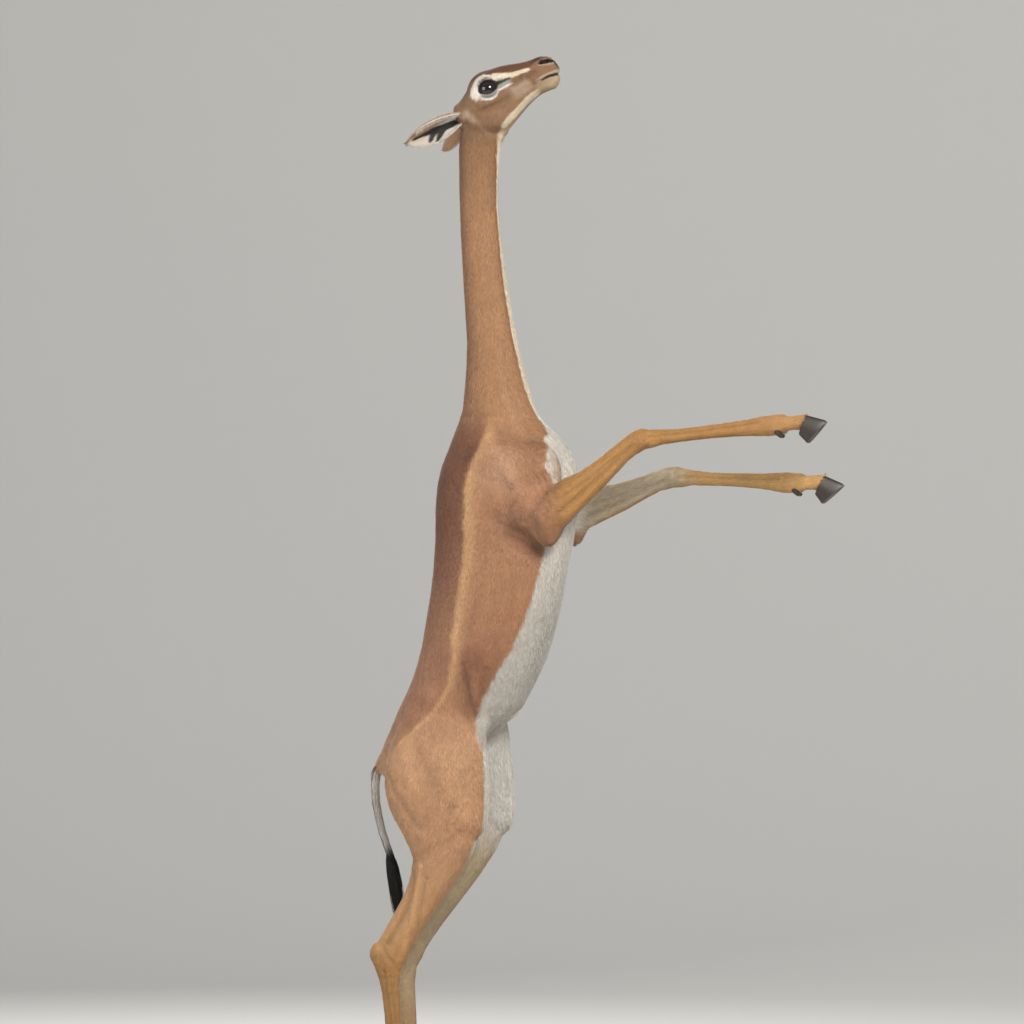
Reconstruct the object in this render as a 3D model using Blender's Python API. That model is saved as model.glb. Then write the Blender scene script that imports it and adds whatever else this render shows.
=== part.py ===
"""A life-size gerenuk doe, standing upright on its hind legs to browse, on a low wooden base.

Metres, +Z up. The animal faces +X, its own right side is -Y, and the origin is the middle of the
base's underside. Heights in the tables are measured from the hind soles.

The flesh is modelled whole: smooth lofts through a few named stations, with muscle masses sunk into
them, fused on a fine grid, softened, and brought down to few faces. Thin cuts then part it where a
person would name its parts. Ears, eyes, hooves, dewclaws and the tail's tuft are set on it.
"""

import math
import random

import bmesh
import bpy
import numpy as np
from mathutils import Matrix, Vector

# Driving dimensions, in metres
GAP = 0.0003
STAND_LENGTH, STAND_WIDTH, STAND_HEIGHT = 0.78, 0.50, 0.034
STAND_CORNER, STAND_EDGE = 0.05, 0.006
SOLE = STAND_HEIGHT + GAP
RING_SIDES = 28
RING_SPACING = 0.008

HEAD_VOXEL, HEAD_SOFTENING, HEAD_TRIANGLES = 0.0020, 12, 3300
BODY_VOXEL, BODY_SOFTENING, BODY_TRIANGLES = 0.0036, 5, 5600
TRUNK_SOFTENING = 90
TRUNK_ZONE = (0.600, 1.500, 0.215)  # lowest, highest, furthest forward
TRUNK_ZONE_BLEND = 0.04

# Neck and trunk, as level slices: height, back, front, half width, lean, fullness.
# A lean above 0 makes the slice wider at the front. A fullness of 2 is an ellipse.
NECK = (
    (1.38, -0.035, 0.175, 0.068, 0.00, 2.0),
    (1.44, -0.028, 0.163, 0.060, 0.00, 2.0),
    (1.48, -0.017, 0.139, 0.051, 0.00, 2.0),
    (1.54, -0.010, 0.118, 0.044, 0.00, 2.0),
    (1.60, -0.007, 0.103, 0.040, 0.03, 2.0),
    (1.70, -0.012, 0.083, 0.036, 0.05, 2.1),
    (1.80, -0.018, 0.068, 0.034, 0.05, 2.1),
    (1.90, -0.022, 0.059, 0.033, 0.05, 2.1),
    (1.96, -0.023, 0.060, 0.033, 0.05, 2.1),
    (2.00, -0.023, 0.064, 0.034, 0.00, 2.0),
    (2.03, -0.021, 0.068, 0.034, 0.00, 2.0),
    (2.08, -0.008, 0.060, 0.030, 0.00, 2.0),
)
TRUNK = (
    (0.700, -0.140, -0.080, 0.030, 0.00, 2.0),
    (0.720, -0.165, -0.050, 0.052, 0.00, 2.0),
    (0.750, -0.178, -0.020, 0.066, 0.00, 2.0),
    (0.780, -0.186, 0.004, 0.074, 0.00, 2.0),
    (0.820, -0.175, 0.037, 0.080, 0.00, 2.0),
    (0.846, -0.163, 0.068, 0.083, 0.00, 2.0),
    (0.880, -0.148, 0.104, 0.088, 0.00, 2.1),
    (0.920, -0.128, 0.127, 0.096, 0.03, 2.1),
    (0.980, -0.105, 0.155, 0.104, 0.05, 2.2),
    (1.060, -0.089, 0.180, 0.106, 0.05, 2.2),
    (1.140, -0.077, 0.197, 0.102, 0.03, 2.15),
    (1.220, -0.071, 0.214, 0.097, -0.06, 2.1),
    (1.300, -0.070, 0.224, 0.092, -0.12, 2.05),
    (1.360, -0.061, 0.222, 0.086, -0.12, 2.0),
    (1.400, -0.046, 0.207, 0.078, -0.02, 2.0),
    (1.440, -0.031, 0.172, 0.064, 0.00, 2.0),
    (1.475, -0.018, 0.135, 0.048, 0.00, 2.0),
)

# Haunch and thigh of one side, as level slices: height, back, front, half width, middle's distance
# from the animal's mid plane.
THIGH = (
    (0.570, -0.096, -0.016, 0.024, 0.071),
    (0.600, -0.104, 0.010, 0.034, 0.072),
    (0.635, -0.122, 0.039, 0.044, 0.072),
    (0.670, -0.142, 0.058, 0.052, 0.072),
    (0.710, -0.156, 0.061, 0.056, 0.071),
    (0.760, -0.158, 0.059, 0.057, 0.068),
    (0.810, -0.148, 0.052, 0.050, 0.062),
    (0.860, -0.125, 0.036, 0.036, 0.058),
    (0.910, -0.090, 0.010, 0.022, 0.060),
)

# Leg joints of the right side: forward, out from the mid plane, height
STIFLE = (0.016, 0.072, 0.676)
HOCK = (-0.153, 0.056, 0.388)
HIND_FETLOCK = (-0.132, 0.056, 0.106)
HIND_CORONET = (-0.095, 0.056, 0.036)
LEFT_STIFLE_FORWARD = 0.014

ELBOW = (0.197, 0.098, 1.262)
RIGHT_CARPUS = (0.377, 0.090, 1.418)
RIGHT_FORE_FETLOCK = (0.648, 0.078, 1.448)
RIGHT_FORE_CORONET = (0.701, 0.078, 1.452)
LEFT_CARPUS = (0.400, 0.090, 1.344)
LEFT_FORE_FETLOCK = (0.648, 0.078, 1.334)
LEFT_FORE_CORONET = (0.702, 0.078, 1.334)
RIGHT_TOE_RISE, LEFT_TOE_RISE = math.radians(48.0), math.radians(40.0)

ARMPIT_OUT = 0.052

# Limb stations: share of the bone's length, reach behind it, reach in front, half width, lean
SHANK = (
    (0.00, 0.060, 0.036, 0.042, 0.10),
    (0.15, 0.075, 0.046, 0.043, 0.10),
    (0.30, 0.074, 0.047, 0.040, 0.12),
    (0.40, 0.057, 0.045, 0.035, 0.20),
    (0.50, 0.043, 0.042, 0.030, 0.28),
    (0.62, 0.035, 0.038, 0.025, 0.34),
    (0.75, 0.034, 0.034, 0.0205, 0.36),
    (0.88, 0.034, 0.033, 0.0195, 0.25),
    (1.00, 0.034, 0.036, 0.021, 0.10),
)
HIND_CANNON = (
    (-0.05, 0.034, 0.036, 0.021, 0.00),
    (0.04, 0.033, 0.031, 0.021, 0.00),
    (0.11, 0.027, 0.024, 0.018, 0.00),
    (0.20, 0.021, 0.019, 0.0155, 0.00),
    (0.36, 0.018, 0.017, 0.0138, 0.00),
    (0.62, 0.017, 0.015, 0.0132, 0.00),
    (0.82, 0.018, 0.016, 0.0145, 0.00),
    (0.93, 0.021, 0.018, 0.0175, 0.00),
    (1.04, 0.022, 0.018, 0.0178, 0.00),
)
FOREARM = (
    (-0.10, 0.030, 0.048, 0.036, 0.00),
    (0.10, 0.027, 0.054, 0.034, 0.05),
    (0.25, 0.025, 0.050, 0.030, 0.05),
    (0.44, 0.022, 0.037, 0.026, 0.05),
    (0.65, 0.016, 0.031, 0.0215, 0.00),
    (0.84, 0.013, 0.028, 0.0185, 0.00),
    (0.96, 0.017, 0.026, 0.0192, 0.00),
    (1.05, 0.019, 0.020, 0.0190, 0.00),
)
FORE_CANNON = (
    (-0.06, 0.020, 0.020, 0.0182, 0.00),
    (0.04, 0.019, 0.020, 0.0178, 0.00),
    (0.12, 0.0150, 0.0178, 0.0150, 0.00),
    (0.25, 0.0130, 0.0145, 0.0125, 0.00),
    (0.45, 0.0125, 0.0142, 0.0120, 0.00),
    (0.62, 0.0138, 0.0150, 0.0124, 0.00),
    (0.78, 0.0165, 0.0170, 0.0138, 0.00),
    (0.92, 0.0210, 0.0200, 0.0168, 0.00),
    (1.05, 0.0210, 0.0195, 0.0172, 0.00),
)
PASTERN = (
    (-0.10, 0.0200, 0.0185, 0.0170, 0.00),
    (0.15, 0.0180, 0.0170, 0.0155, 0.00),
    (0.50, 0.0140, 0.0145, 0.0145, 0.00),
    (0.80, 0.0150, 0.0155, 0.0165, 0.00),
    (1.25, 0.0165, 0.0170, 0.0180, 0.00),
)

# Head, in its own frame: forward along the muzzle, up towards the crown, and sideways
HEAD_PITCH = math.radians(28.0)
HEAD_MIDDLE = (0.0414, 0.0, 2.116)
CRANIUM = (
    (-0.088, -0.040, -0.006, 0.020, 0.00, 2.0),
    (-0.080, -0.052, 0.006, 0.029, 0.05, 2.0),
    (-0.060, -0.062, 0.014, 0.034, 0.10, 2.0),
    (-0.038, -0.070, 0.0255, 0.038, 0.15, 2.1),
    (-0.015, -0.074, 0.0415, 0.040, 0.25, 2.2),
    (0.005, -0.071, 0.0435, 0.040, 0.30, 2.2),
    (0.025, -0.063, 0.0385, 0.037, 0.30, 2.2),
    (0.045, -0.055, 0.0345, 0.031, 0.25, 2.1),
    (0.065, -0.047, 0.0275, 0.026, 0.15, 2.1),
    (0.085, -0.041, 0.0205, 0.0225, 0.10, 2.1),
    (0.105, -0.038, 0.0155, 0.0205, 0.05, 2.2),
    (0.122, -0.037, 0.0135, 0.0195, 0.00, 2.3),
    (0.135, -0.036, 0.0060, 0.0170, 0.00, 2.3),
    (0.143, -0.034, -0.0040, 0.0130, 0.00, 2.2),
    (0.148, -0.031, -0.0160, 0.0080, 0.00, 2.0),
)
JAW = (
    (-0.034, -0.080, -0.030, 0.026, 0.00, 2.0),
    (-0.018, -0.087, -0.030, 0.030, 0.05, 2.0),
    (0.003, -0.084, -0.036, 0.027, 0.15, 2.0),
    (0.030, -0.074, -0.036, 0.022, 0.15, 2.0),
    (0.060, -0.063, -0.034, 0.0185, 0.10, 2.0),
    (0.088, -0.057, -0.033, 0.0165, 0.05, 2.0),
    (0.108, -0.058, -0.034, 0.0160, 0.00, 2.1),
    (0.123, -0.060, -0.035, 0.0150, 0.00, 2.1),
    (0.134, -0.054, -0.036, 0.0120, 0.00, 2.0),
    (0.140, -0.048, -0.038, 0.0070, 0.00, 2.0),
)
# Ridges over the eye and along the cheek: forward, up and out of their middle lines, and radii
BROW = ((-0.022, 0.012, 0.031), (-0.004, 0.022, 0.034), (0.016, 0.024, 0.033), (0.040, 0.016, 0.025))
BROW_RADII = (0.0085, 0.0085, 0.0080, 0.0065)
CHEEK_BONE = (
    (-0.062, -0.022, 0.029),
    (-0.036, -0.022, 0.032),
    (-0.012, -0.023, 0.033),
    (0.016, -0.025, 0.029),
    (0.044, -0.023, 0.021),
)
CHEEK_BONE_RADII = (0.009, 0.008, 0.008, 0.0075, 0.0065)
EYE_RADIUS = 0.0200
LID_THICKNESS = 0.0026
EYE_MIDDLE = (0.0060, 0.0010, 0.0275)
EYE_GAZE = Vector((0.16, 0.03, 1.0)).normalized()
LID_OPENING_LENGTH, LID_OPENING_HEIGHT = 0.0375, 0.0315
LID_OPENING_TILT = math.radians(6.0)
NOSTRIL_REAR, NOSTRIL_FRONT = (0.118, -0.002, 0.0195), (0.143, -0.0085, 0.0105)
NOSTRIL_HALF_HEIGHT, NOSTRIL_DEPTH = 0.0036, 0.0070
# The line of the mouth: forward, up and out, from its corner to the middle of the lips
MOUTH = (
    (0.094, -0.0325, 0.0190),
    (0.104, -0.0335, 0.0188),
    (0.115, -0.0338, 0.0182),
    (0.126, -0.0342, 0.0168),
    (0.135, -0.0352, 0.0135),
    (0.141, -0.0362, 0.0075),
    (0.1435, -0.0366, 0.0000),
)
MOUTH_OPENING, MOUTH_DEPTH = 0.0018, 0.0045

EAR_LENGTH, EAR_WIDTH, EAR_WALL = 0.130, 0.050, 0.0022
EAR_SAG = 0.0030
EAR_ROOT = (-0.0630, -0.0220, 0.0320)
RIGHT_EAR_TIP = (-0.113, -0.082, 2.008)
LEFT_EAR_TIP = (-0.085, 0.110, 2.010)
# The ear's root, as a stalk that ends as the floor of the cup: reach along the ear, height in it
EAR_STALK = ((-0.016, -0.002), (-0.002, -0.005), (0.010, -0.0105), (0.024, -0.0165))
EAR_STALK_RADII = (0.0120, 0.0116, 0.0080, 0.0034)
# Share of the ear's length, share of its width, depth of its cup
EAR = (
    (0.00, 0.36, 0.0120),
    (0.08, 0.46, 0.0150),
    (0.20, 0.72, 0.0185),
    (0.34, 0.92, 0.0185),
    (0.50, 1.00, 0.0165),
    (0.64, 0.96, 0.0135),
    (0.78, 0.78, 0.0100),
    (0.89, 0.52, 0.0062),
    (0.96, 0.28, 0.0030),
    (1.00, 0.08, 0.0008),
)

# Tail: forward and height of its middle line, with its radius
TAIL = (
    (-0.148, 0.806, 0.0190),
    (-0.178, 0.783, 0.0165),
    (-0.1935, 0.756, 0.0120),
    (-0.197, 0.730, 0.0100),
    (-0.196, 0.700, 0.0092),
    (-0.191, 0.670, 0.0088),
    (-0.184, 0.640, 0.0084),
    (-0.174, 0.610, 0.0080),
    (-0.1635, 0.582, 0.0078),
    (-0.156, 0.562, 0.0076),
)
TAIL_END = 8
TUFT_LENGTH, TUFT_LOCKS, TUFT_SPREAD = 0.100, 15, 0.0150
# Half width and half thickness of a lock at its root, its bend, its middle and its tip
LOCK_SIZES = ((0.0036, 0.0022), (0.0050, 0.0026), (0.0038, 0.0018), (0.0006, 0.0004))

HOOF_HEIGHT, HOOF_HEEL, HOOF_TOE = 0.034, -0.025, 0.031
CLAW_WIDTH, CLAW_APART = 0.0185, 0.0016
CORONET_SLOPE = math.radians(24.0)

COAT = (0.36, 0.19, 0.10)
BLACK_HAIR = (0.012, 0.010, 0.009)
HORN = (0.035, 0.027, 0.022)
EYE_BLACK = (0.010, 0.007, 0.005)
OAK = (0.30, 0.17, 0.08)

RIGHT, LEFT = -1, 1


def at(forward, out, height):
    return Vector((forward, out, height + SOLE))


def joint(place, side):
    """A joint's place on one side of the animal: -1 is its right, 1 its left."""
    forward, out, height = place
    return at(forward, side * out, height)


UPRIGHT = Matrix(((0, 1, 0, 0), (0, 0, 1, 0), (1, 0, 0, SOLE), (0, 0, 0, 1)))
HEAD = Matrix.Translation(at(*HEAD_MIDDLE)) @ Matrix(
    (
        (math.cos(HEAD_PITCH), -math.sin(HEAD_PITCH), 0, 0),
        (0, 0, 1, 0),
        (math.sin(HEAD_PITCH), math.cos(HEAD_PITCH), 0, 0),
        (0, 0, 0, 1),
    )
)


def in_head(place, side):
    forward, up, out = place
    return HEAD @ Vector((forward, up, side * out))


def frame(origin, along, front):
    """A frame whose first axis runs along a bone and whose second points to the front of it."""
    along = along.normalized()
    front = (front - along * along.dot(front)).normalized()
    side = along.cross(front)
    axes = Matrix((along, front, side)).transposed().to_4x4()
    return Matrix.Translation(origin) @ axes


def smooth_rows(rows, spacing):
    """A table's rows joined by one smooth curve, and read again at even steps of its first column."""
    rows = np.array(rows, dtype=float)
    along = rows[:, 0]
    slopes = np.gradient(rows, along, axis=0)
    wanted = np.linspace(along[0], along[-1], max(3, math.ceil((along[-1] - along[0]) / spacing)))
    index = np.clip(np.searchsorted(along, wanted, side="right") - 1, 0, len(along) - 2)
    span = (along[index + 1] - along[index])[:, None]
    t = ((wanted - along[index])[:, None]) / span
    return (
        rows[index] * (2 * t**3 - 3 * t**2 + 1)
        + rows[index + 1] * (3 * t**2 - 2 * t**3)
        + slopes[index] * span * (t**3 - 2 * t**2 + t)
        + slopes[index + 1] * span * (t**3 - t**2)
    )


def add_rings(shape, rings):
    """A closed skin over rings of equally many points."""
    loops = [[shape.verts.new(point) for point in ring] for ring in rings]
    for near, far in zip(loops, loops[1:]):
        for i in range(len(near)):
            shape.faces.new((near[i - 1], near[i], far[i], far[i - 1]))
    shape.faces.new(loops[0])
    shape.faces.new(loops[-1])


def add_slices(shape, rows, place, spacing=RING_SPACING):
    """A loft through slices: along, low, high, half width, lean, fullness and middle's offset."""
    angles = np.arange(RING_SIDES) * math.tau / RING_SIDES
    rings = []
    for along, low, high, half_width, lean, fullness, offset in smooth_rows(rows, spacing):
        deep = np.sign(np.sin(angles)) * np.abs(np.sin(angles)) ** (2 / fullness)
        wide = np.sign(np.cos(angles)) * np.abs(np.cos(angles)) ** (2 / fullness)
        wide *= 1 + lean * deep
        points = zip((low + high) / 2 + (high - low) / 2 * deep, offset + half_width * wide)
        rings.append([place @ Vector((along, *point)) for point in points])
    add_rings(shape, rings)


def add_limb(shape, start, end, front, rows):
    """One bone's length of a leg, with its flesh, from joint to joint."""
    length = (end - start).length
    slices = [
        (share * length, -behind, ahead, half_width, lean, 2.1, 0.0)
        for share, behind, ahead, half_width, lean in rows
    ]
    add_slices(shape, slices, frame(start, end - start, front))


def add_mass(shape, middle, radii, turn=0.0):
    """A muscle or a bony knob: an ellipsoid, turned about the animal's sideways axis."""
    place = Matrix.Translation(middle) @ Matrix.Rotation(turn, 4, "Y") @ Matrix.Diagonal((*radii, 1))
    bmesh.ops.create_uvsphere(shape, u_segments=20, v_segments=14, radius=1.0, matrix=place)


def add_strand(shape, points, radii, spacing=0.006, sides=10):
    """A tapered round strand through points in space."""
    lengths = [0.0]
    for near, far in zip(points, points[1:]):
        lengths.append(lengths[-1] + (far - near).length)
    rows = [(length, *point, radius) for length, point, radius in zip(lengths, points, radii)]
    rows = smooth_rows(rows, spacing)
    middles = [Vector(row[1:4]) for row in rows]
    rings = []
    for i, row in enumerate(rows):
        along = middles[min(i + 1, len(middles) - 1)] - middles[max(i - 1, 0)]
        place = frame(middles[i], along, Vector((0.31, 0.95, 0.0)))
        turns = [k * math.tau / sides for k in range(sides)]
        rings.append(
            [place @ Vector((0, row[4] * math.cos(a), row[4] * math.sin(a))) for a in turns]
        )
    add_rings(shape, rings)


def object_from(name, shape):
    """A mesh object made from a bmesh, with its faces turned outwards."""
    bmesh.ops.recalc_face_normals(shape, faces=shape.faces)
    mesh = bpy.data.meshes.new(name)
    shape.to_mesh(mesh)
    shape.free()
    made = bpy.data.objects.new(name, mesh)
    bpy.context.scene.collection.objects.link(made)
    return made


def settle(piece):
    """Replaces the object's mesh by what its modifiers make of it."""
    graph = bpy.context.evaluated_depsgraph_get()
    mesh = bpy.data.meshes.new_from_object(piece.evaluated_get(graph))
    piece.modifiers.clear()
    piece.data = mesh


def remove(pieces):
    for piece in pieces:
        bpy.data.objects.remove(piece)


def trunk_weight(place):
    """How fully a point belongs to the trunk and haunches, from 0 on the legs and neck to 1."""
    lowest, highest, furthest = TRUNK_ZONE
    height = place.z - SOLE
    inside = min(height - lowest, highest - height, furthest - place.x)
    return min(1.0, max(0.0, inside / TRUNK_ZONE_BLEND))


def soften(flesh, times, zone=None):
    """Evens out the surface, all over or as a zone's weight says."""
    evening = flesh.modifiers.new("Soften", "SMOOTH")
    evening.factor = 0.5
    evening.iterations = times
    if zone:
        group = flesh.vertex_groups.new(name="zone")
        for corner in flesh.data.vertices:
            weight = zone(corner.co)
            if weight > 0:
                group.add([corner.index], weight, "REPLACE")
        evening.vertex_group = group.name
    settle(flesh)


def fuse_flesh(name, shape, voxel, softening, triangles, zone=None):
    """Overlapping closed forms made one: fused on a grid, softened and brought down to few faces."""
    flesh = object_from(name, shape)
    fusing = flesh.modifiers.new("Fuse", "REMESH")
    fusing.mode = "VOXEL"
    fusing.voxel_size = voxel
    settle(flesh)
    soften(flesh, softening)
    if zone:
        soften(flesh, TRUNK_SOFTENING, zone)
    triangulate = flesh.modifiers.new("Triangulate", "TRIANGULATE")
    triangulate.quad_method = "SHORTEST_DIAGONAL"
    settle(flesh)
    fewer = flesh.modifiers.new("Fewer", "DECIMATE")
    fewer.ratio = triangles / len(flesh.data.polygons)
    fewer.use_symmetry = False
    settle(flesh)
    return flesh


def combine(piece, others, operation):
    """One Boolean of the piece with all the others, which are then removed."""
    group = bpy.data.collections.new(piece.name + " tools")
    for other in others:
        group.objects.link(other)
    change = piece.modifiers.new("Combine", "BOOLEAN")
    change.operation = operation
    change.operand_type = "COLLECTION"
    change.collection = group
    change.solver = "EXACT"
    settle(piece)
    remove(others)
    bpy.data.collections.remove(group)


def loose_pieces(piece):
    """The object's separate closed surfaces, each made its own object."""
    for other in bpy.context.selected_objects:
        other.select_set(False)
    bpy.context.view_layer.objects.active = piece
    piece.select_set(True)
    bpy.ops.mesh.separate(type="LOOSE")
    return list(bpy.context.selected_objects)


def volume_of(piece):
    shape = bmesh.new()
    shape.from_mesh(piece.data)
    volume = shape.calc_volume()
    shape.free()
    return volume


def keep_largest(piece):
    """Drops every closed surface of the object but the largest."""
    name = piece.name
    pieces = sorted(loose_pieces(piece), key=volume_of)
    kept = pieces.pop()
    remove(pieces)
    kept.name = name
    return kept


def middle_of(piece):
    points = [corner.co for corner in piece.data.vertices]
    return sum(points, Vector()) / len(points)


def block(middle, along, front, sizes):
    """A box as a cutter: its sizes run along, to the front and sideways."""
    shape = bmesh.new()
    place = frame(middle, along, front) @ Matrix.Diagonal((*sizes, 1))
    bmesh.ops.create_cube(shape, size=1.0, matrix=place)
    cutter = object_from("cutter", shape)
    cutter.hide_render = True
    cutter.display_type = "WIRE"
    return cutter


def parting(middle, along, front, depth, width):
    """A thin cut across the body: a plate as thick as the gap it leaves."""
    return block(middle, along, front, (GAP, depth, width))


def grown(piece):
    """A copy of the object, larger all over by the gap, to cut its neighbour with."""
    copy = piece.copy()
    copy.data = piece.data.copy()
    bpy.context.scene.collection.objects.link(copy)
    swell = copy.modifiers.new("Swell", "DISPLACE")
    swell.strength = GAP
    swell.mid_level = 0.0
    settle(copy)
    copy.hide_render = True
    copy.display_type = "WIRE"
    return copy


def seat(piece, host):
    """Cuts the piece to the host's surface, leaving the gap, and keeps what stands outside."""
    combine(piece, [grown(host)], "DIFFERENCE")
    return keep_largest(piece)


def finish_with(piece, label, colour, roughness):
    """The object's own material, smooth shading and a clear name."""
    material = bpy.data.materials.get(label) or bpy.data.materials.new(label)
    material.use_nodes = True
    surface = material.node_tree.nodes["Principled BSDF"]
    surface.inputs["Base Color"].default_value = (*colour, 1.0)
    surface.inputs["Roughness"].default_value = roughness
    surface.inputs["Metallic"].default_value = 0.0
    piece.data.materials.clear()
    piece.data.materials.append(material)
    piece.data.shade_smooth()
    piece.data.set_sharp_from_angle(angle=math.radians(40))


def limb_joints(side):
    """Where one side's joints lie, as a dictionary of points."""
    stifle = joint(STIFLE, side)
    if side == LEFT:
        stifle.x += LEFT_STIFLE_FORWARD
    fore = (
        (RIGHT_CARPUS, RIGHT_FORE_FETLOCK, RIGHT_FORE_CORONET)
        if side == RIGHT
        else (LEFT_CARPUS, LEFT_FORE_FETLOCK, LEFT_FORE_CORONET)
    )
    return {
        "stifle": stifle,
        "hock": joint(HOCK, side),
        "hind fetlock": joint(HIND_FETLOCK, side),
        "hind coronet": joint(HIND_CORONET, side),
        "elbow": joint(ELBOW, side),
        "carpus": joint(fore[0], side),
        "fore fetlock": joint(fore[1], side),
        "fore coronet": joint(fore[2], side),
    }


FORWARD, UP = Vector((1, 0, 0)), Vector((0, 0, 1))


def add_hind_leg(shape, side):
    joints = limb_joints(side)
    shift = LEFT_STIFLE_FORWARD if side == LEFT else 0.0
    rows = [
        (height, back + shift, front + shift, half_width, 0.0, 2.2, side * out)
        for height, back, front, half_width, out in THIGH
    ]
    add_slices(shape, rows, UPRIGHT)
    add_limb(shape, joints["stifle"], joints["hock"], FORWARD, SHANK)
    add_limb(shape, joints["hock"], joints["hind fetlock"], FORWARD, HIND_CANNON)
    add_limb(shape, joints["hind fetlock"], joints["hind coronet"], FORWARD, PASTERN)
    add_mass(shape, joints["stifle"] + Vector((0.020, side * 0.004, -0.006)), (0.024, 0.032, 0.040))
    add_mass(shape, joints["hock"] + Vector((-0.026, 0.0, 0.010)), (0.0125, 0.0125, 0.021), 0.35)
    add_mass(shape, joints["hind fetlock"], (0.0205, 0.0180, 0.0205))
    add_mass(shape, joints["hind coronet"], (0.0205, 0.0190, 0.0170))
    hip_bone = at(-0.050, side * 0.072, 0.905)
    add_mass(shape, hip_bone, (0.030, 0.022, 0.040), 0.5)
    flank_fold = at(0.020 + shift, side * 0.064, 0.845)
    add_mass(shape, flank_fold, (0.032, 0.020, 0.070), -0.25)


def add_foreleg(shape, side):
    joints = limb_joints(side)
    elbow = joints["elbow"]
    add_mass(shape, at(0.088, side * 0.066, 1.372), (0.084, 0.027, 0.060))
    add_mass(shape, at(0.142, side * 0.064, 1.345), (0.066, 0.036, 0.078), 0.15)
    add_mass(shape, at(0.150, side * 0.072, 1.284), (0.062, 0.038, 0.060), 0.75)
    add_mass(shape, elbow + Vector((-0.010, side * -0.003, 0.004)), (0.036, 0.034, 0.060), 0.12)
    add_mass(shape, elbow + Vector((-0.010, 0.0, -0.034)), (0.022, 0.022, 0.026), 0.5)
    add_limb(shape, elbow, joints["carpus"], UP, FOREARM)
    add_limb(shape, joints["carpus"], joints["fore fetlock"], UP, FORE_CANNON)
    add_limb(shape, joints["fore fetlock"], joints["fore coronet"], UP, PASTERN)
    add_mass(shape, joints["carpus"] + Vector((0.0, 0.0, 0.003)), (0.026, 0.0192, 0.0195))
    add_mass(shape, joints["fore fetlock"], (0.0200, 0.0172, 0.0200))
    add_mass(shape, joints["fore coronet"], (0.0175, 0.0180, 0.0165))


def tail_path():
    points = [at(forward, 0.0, height) for forward, height, radius in TAIL]
    return points, [radius for forward, height, radius in TAIL]


def body_shape():
    """Neck, trunk, legs and tail as overlapping forms."""
    shape = bmesh.new()
    add_slices(shape, [(*row, 0.0) for row in NECK], UPRIGHT)
    add_slices(shape, [(*row, 0.0) for row in TRUNK], UPRIGHT)
    add_strand(shape, *tail_path())
    for side in (RIGHT, LEFT):
        add_hind_leg(shape, side)
        add_foreleg(shape, side)
    return shape


def head_shape():
    """Cranium, jaw, orbits, cheeks and lips as overlapping forms, with the neck's upper end."""
    shape = bmesh.new()
    add_slices(shape, [(*row, 0.0) for row in CRANIUM], HEAD, spacing=0.005)
    add_slices(shape, [(*row, 0.0) for row in JAW], HEAD, spacing=0.005)
    add_slices(shape, [(*row, 0.0) for row in NECK[6:]], UPRIGHT)
    for side in (RIGHT, LEFT):
        lid_radius = EYE_RADIUS + LID_THICKNESS
        add_mass(shape, in_head(EYE_MIDDLE, side), (lid_radius,) * 3)
        add_strand(shape, [in_head(place, side) for place in BROW], BROW_RADII)
        add_strand(shape, [in_head(place, side) for place in CHEEK_BONE], CHEEK_BONE_RADII)
        add_mass(shape, in_head((-0.020, -0.052, 0.019), side), (0.036, 0.014, 0.030), -HEAD_PITCH)
        add_mass(shape, in_head(EAR_ROOT, side), (0.0150, 0.0130, 0.0140))
        lip = [in_head((forward, up + 0.0055, out - 0.004), side) for forward, up, out in MOUTH[1:-1]]
        add_strand(shape, lip, [0.0045, 0.0050, 0.0052, 0.0050, 0.0045], spacing=0.004)
        nostril_wing = in_head((0.130, 0.0015, 0.0135), side)
        add_mass(shape, nostril_wing, (0.0125, 0.0070, 0.0050), -HEAD_PITCH)
    return shape


def lid_opening(side):
    """A cutter shaped like the almond between the lids, from the eye's middle outwards."""
    across = Vector((math.cos(LID_OPENING_TILT), math.sin(LID_OPENING_TILT), 0))
    turn = Matrix.Rotation(-LID_OPENING_TILT, 3, "X")
    shape = bmesh.new()
    rings = []
    gaze = Vector((EYE_GAZE.x, EYE_GAZE.y, side * EYE_GAZE.z))
    upright = gaze.cross(across).normalized() * side
    across = upright.cross(gaze).normalized()
    middle = Vector((EYE_MIDDLE[0], EYE_MIDDLE[1], side * EYE_MIDDLE[2]))
    for reach, spread in ((0.35, 0.80), (1.0, 1.0), (1.8, 1.25)):
        ring = []
        for k in range(24):
            angle = k * math.tau / 24
            long = math.cos(angle) * LID_OPENING_LENGTH / 2
            tall = math.sin(angle) * abs(math.sin(angle)) ** 0.25 * LID_OPENING_HEIGHT / 2
            edge = (across * long + upright * tall) * spread
            ring.append(HEAD @ (middle + gaze * EYE_RADIUS * reach + edge))
        rings.append(ring)
    add_rings(shape, rings)
    return object_from("lid opening", shape)


def nostril(side):
    """A slit that runs forward and in, to be cut from the muzzle."""
    rear, front = in_head(NOSTRIL_REAR, side), in_head(NOSTRIL_FRONT, side)
    shape = bmesh.new()
    place = frame((rear + front) / 2, front - rear, HEAD.to_3x3() @ Vector((0, 1, 0)))
    sizes = ((front - rear).length / 2, NOSTRIL_HALF_HEIGHT, NOSTRIL_DEPTH)
    bmesh.ops.create_uvsphere(
        shape, u_segments=14, v_segments=10, radius=1.0, matrix=place @ Matrix.Diagonal((*sizes, 1))
    )
    return object_from("nostril", shape)


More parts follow.
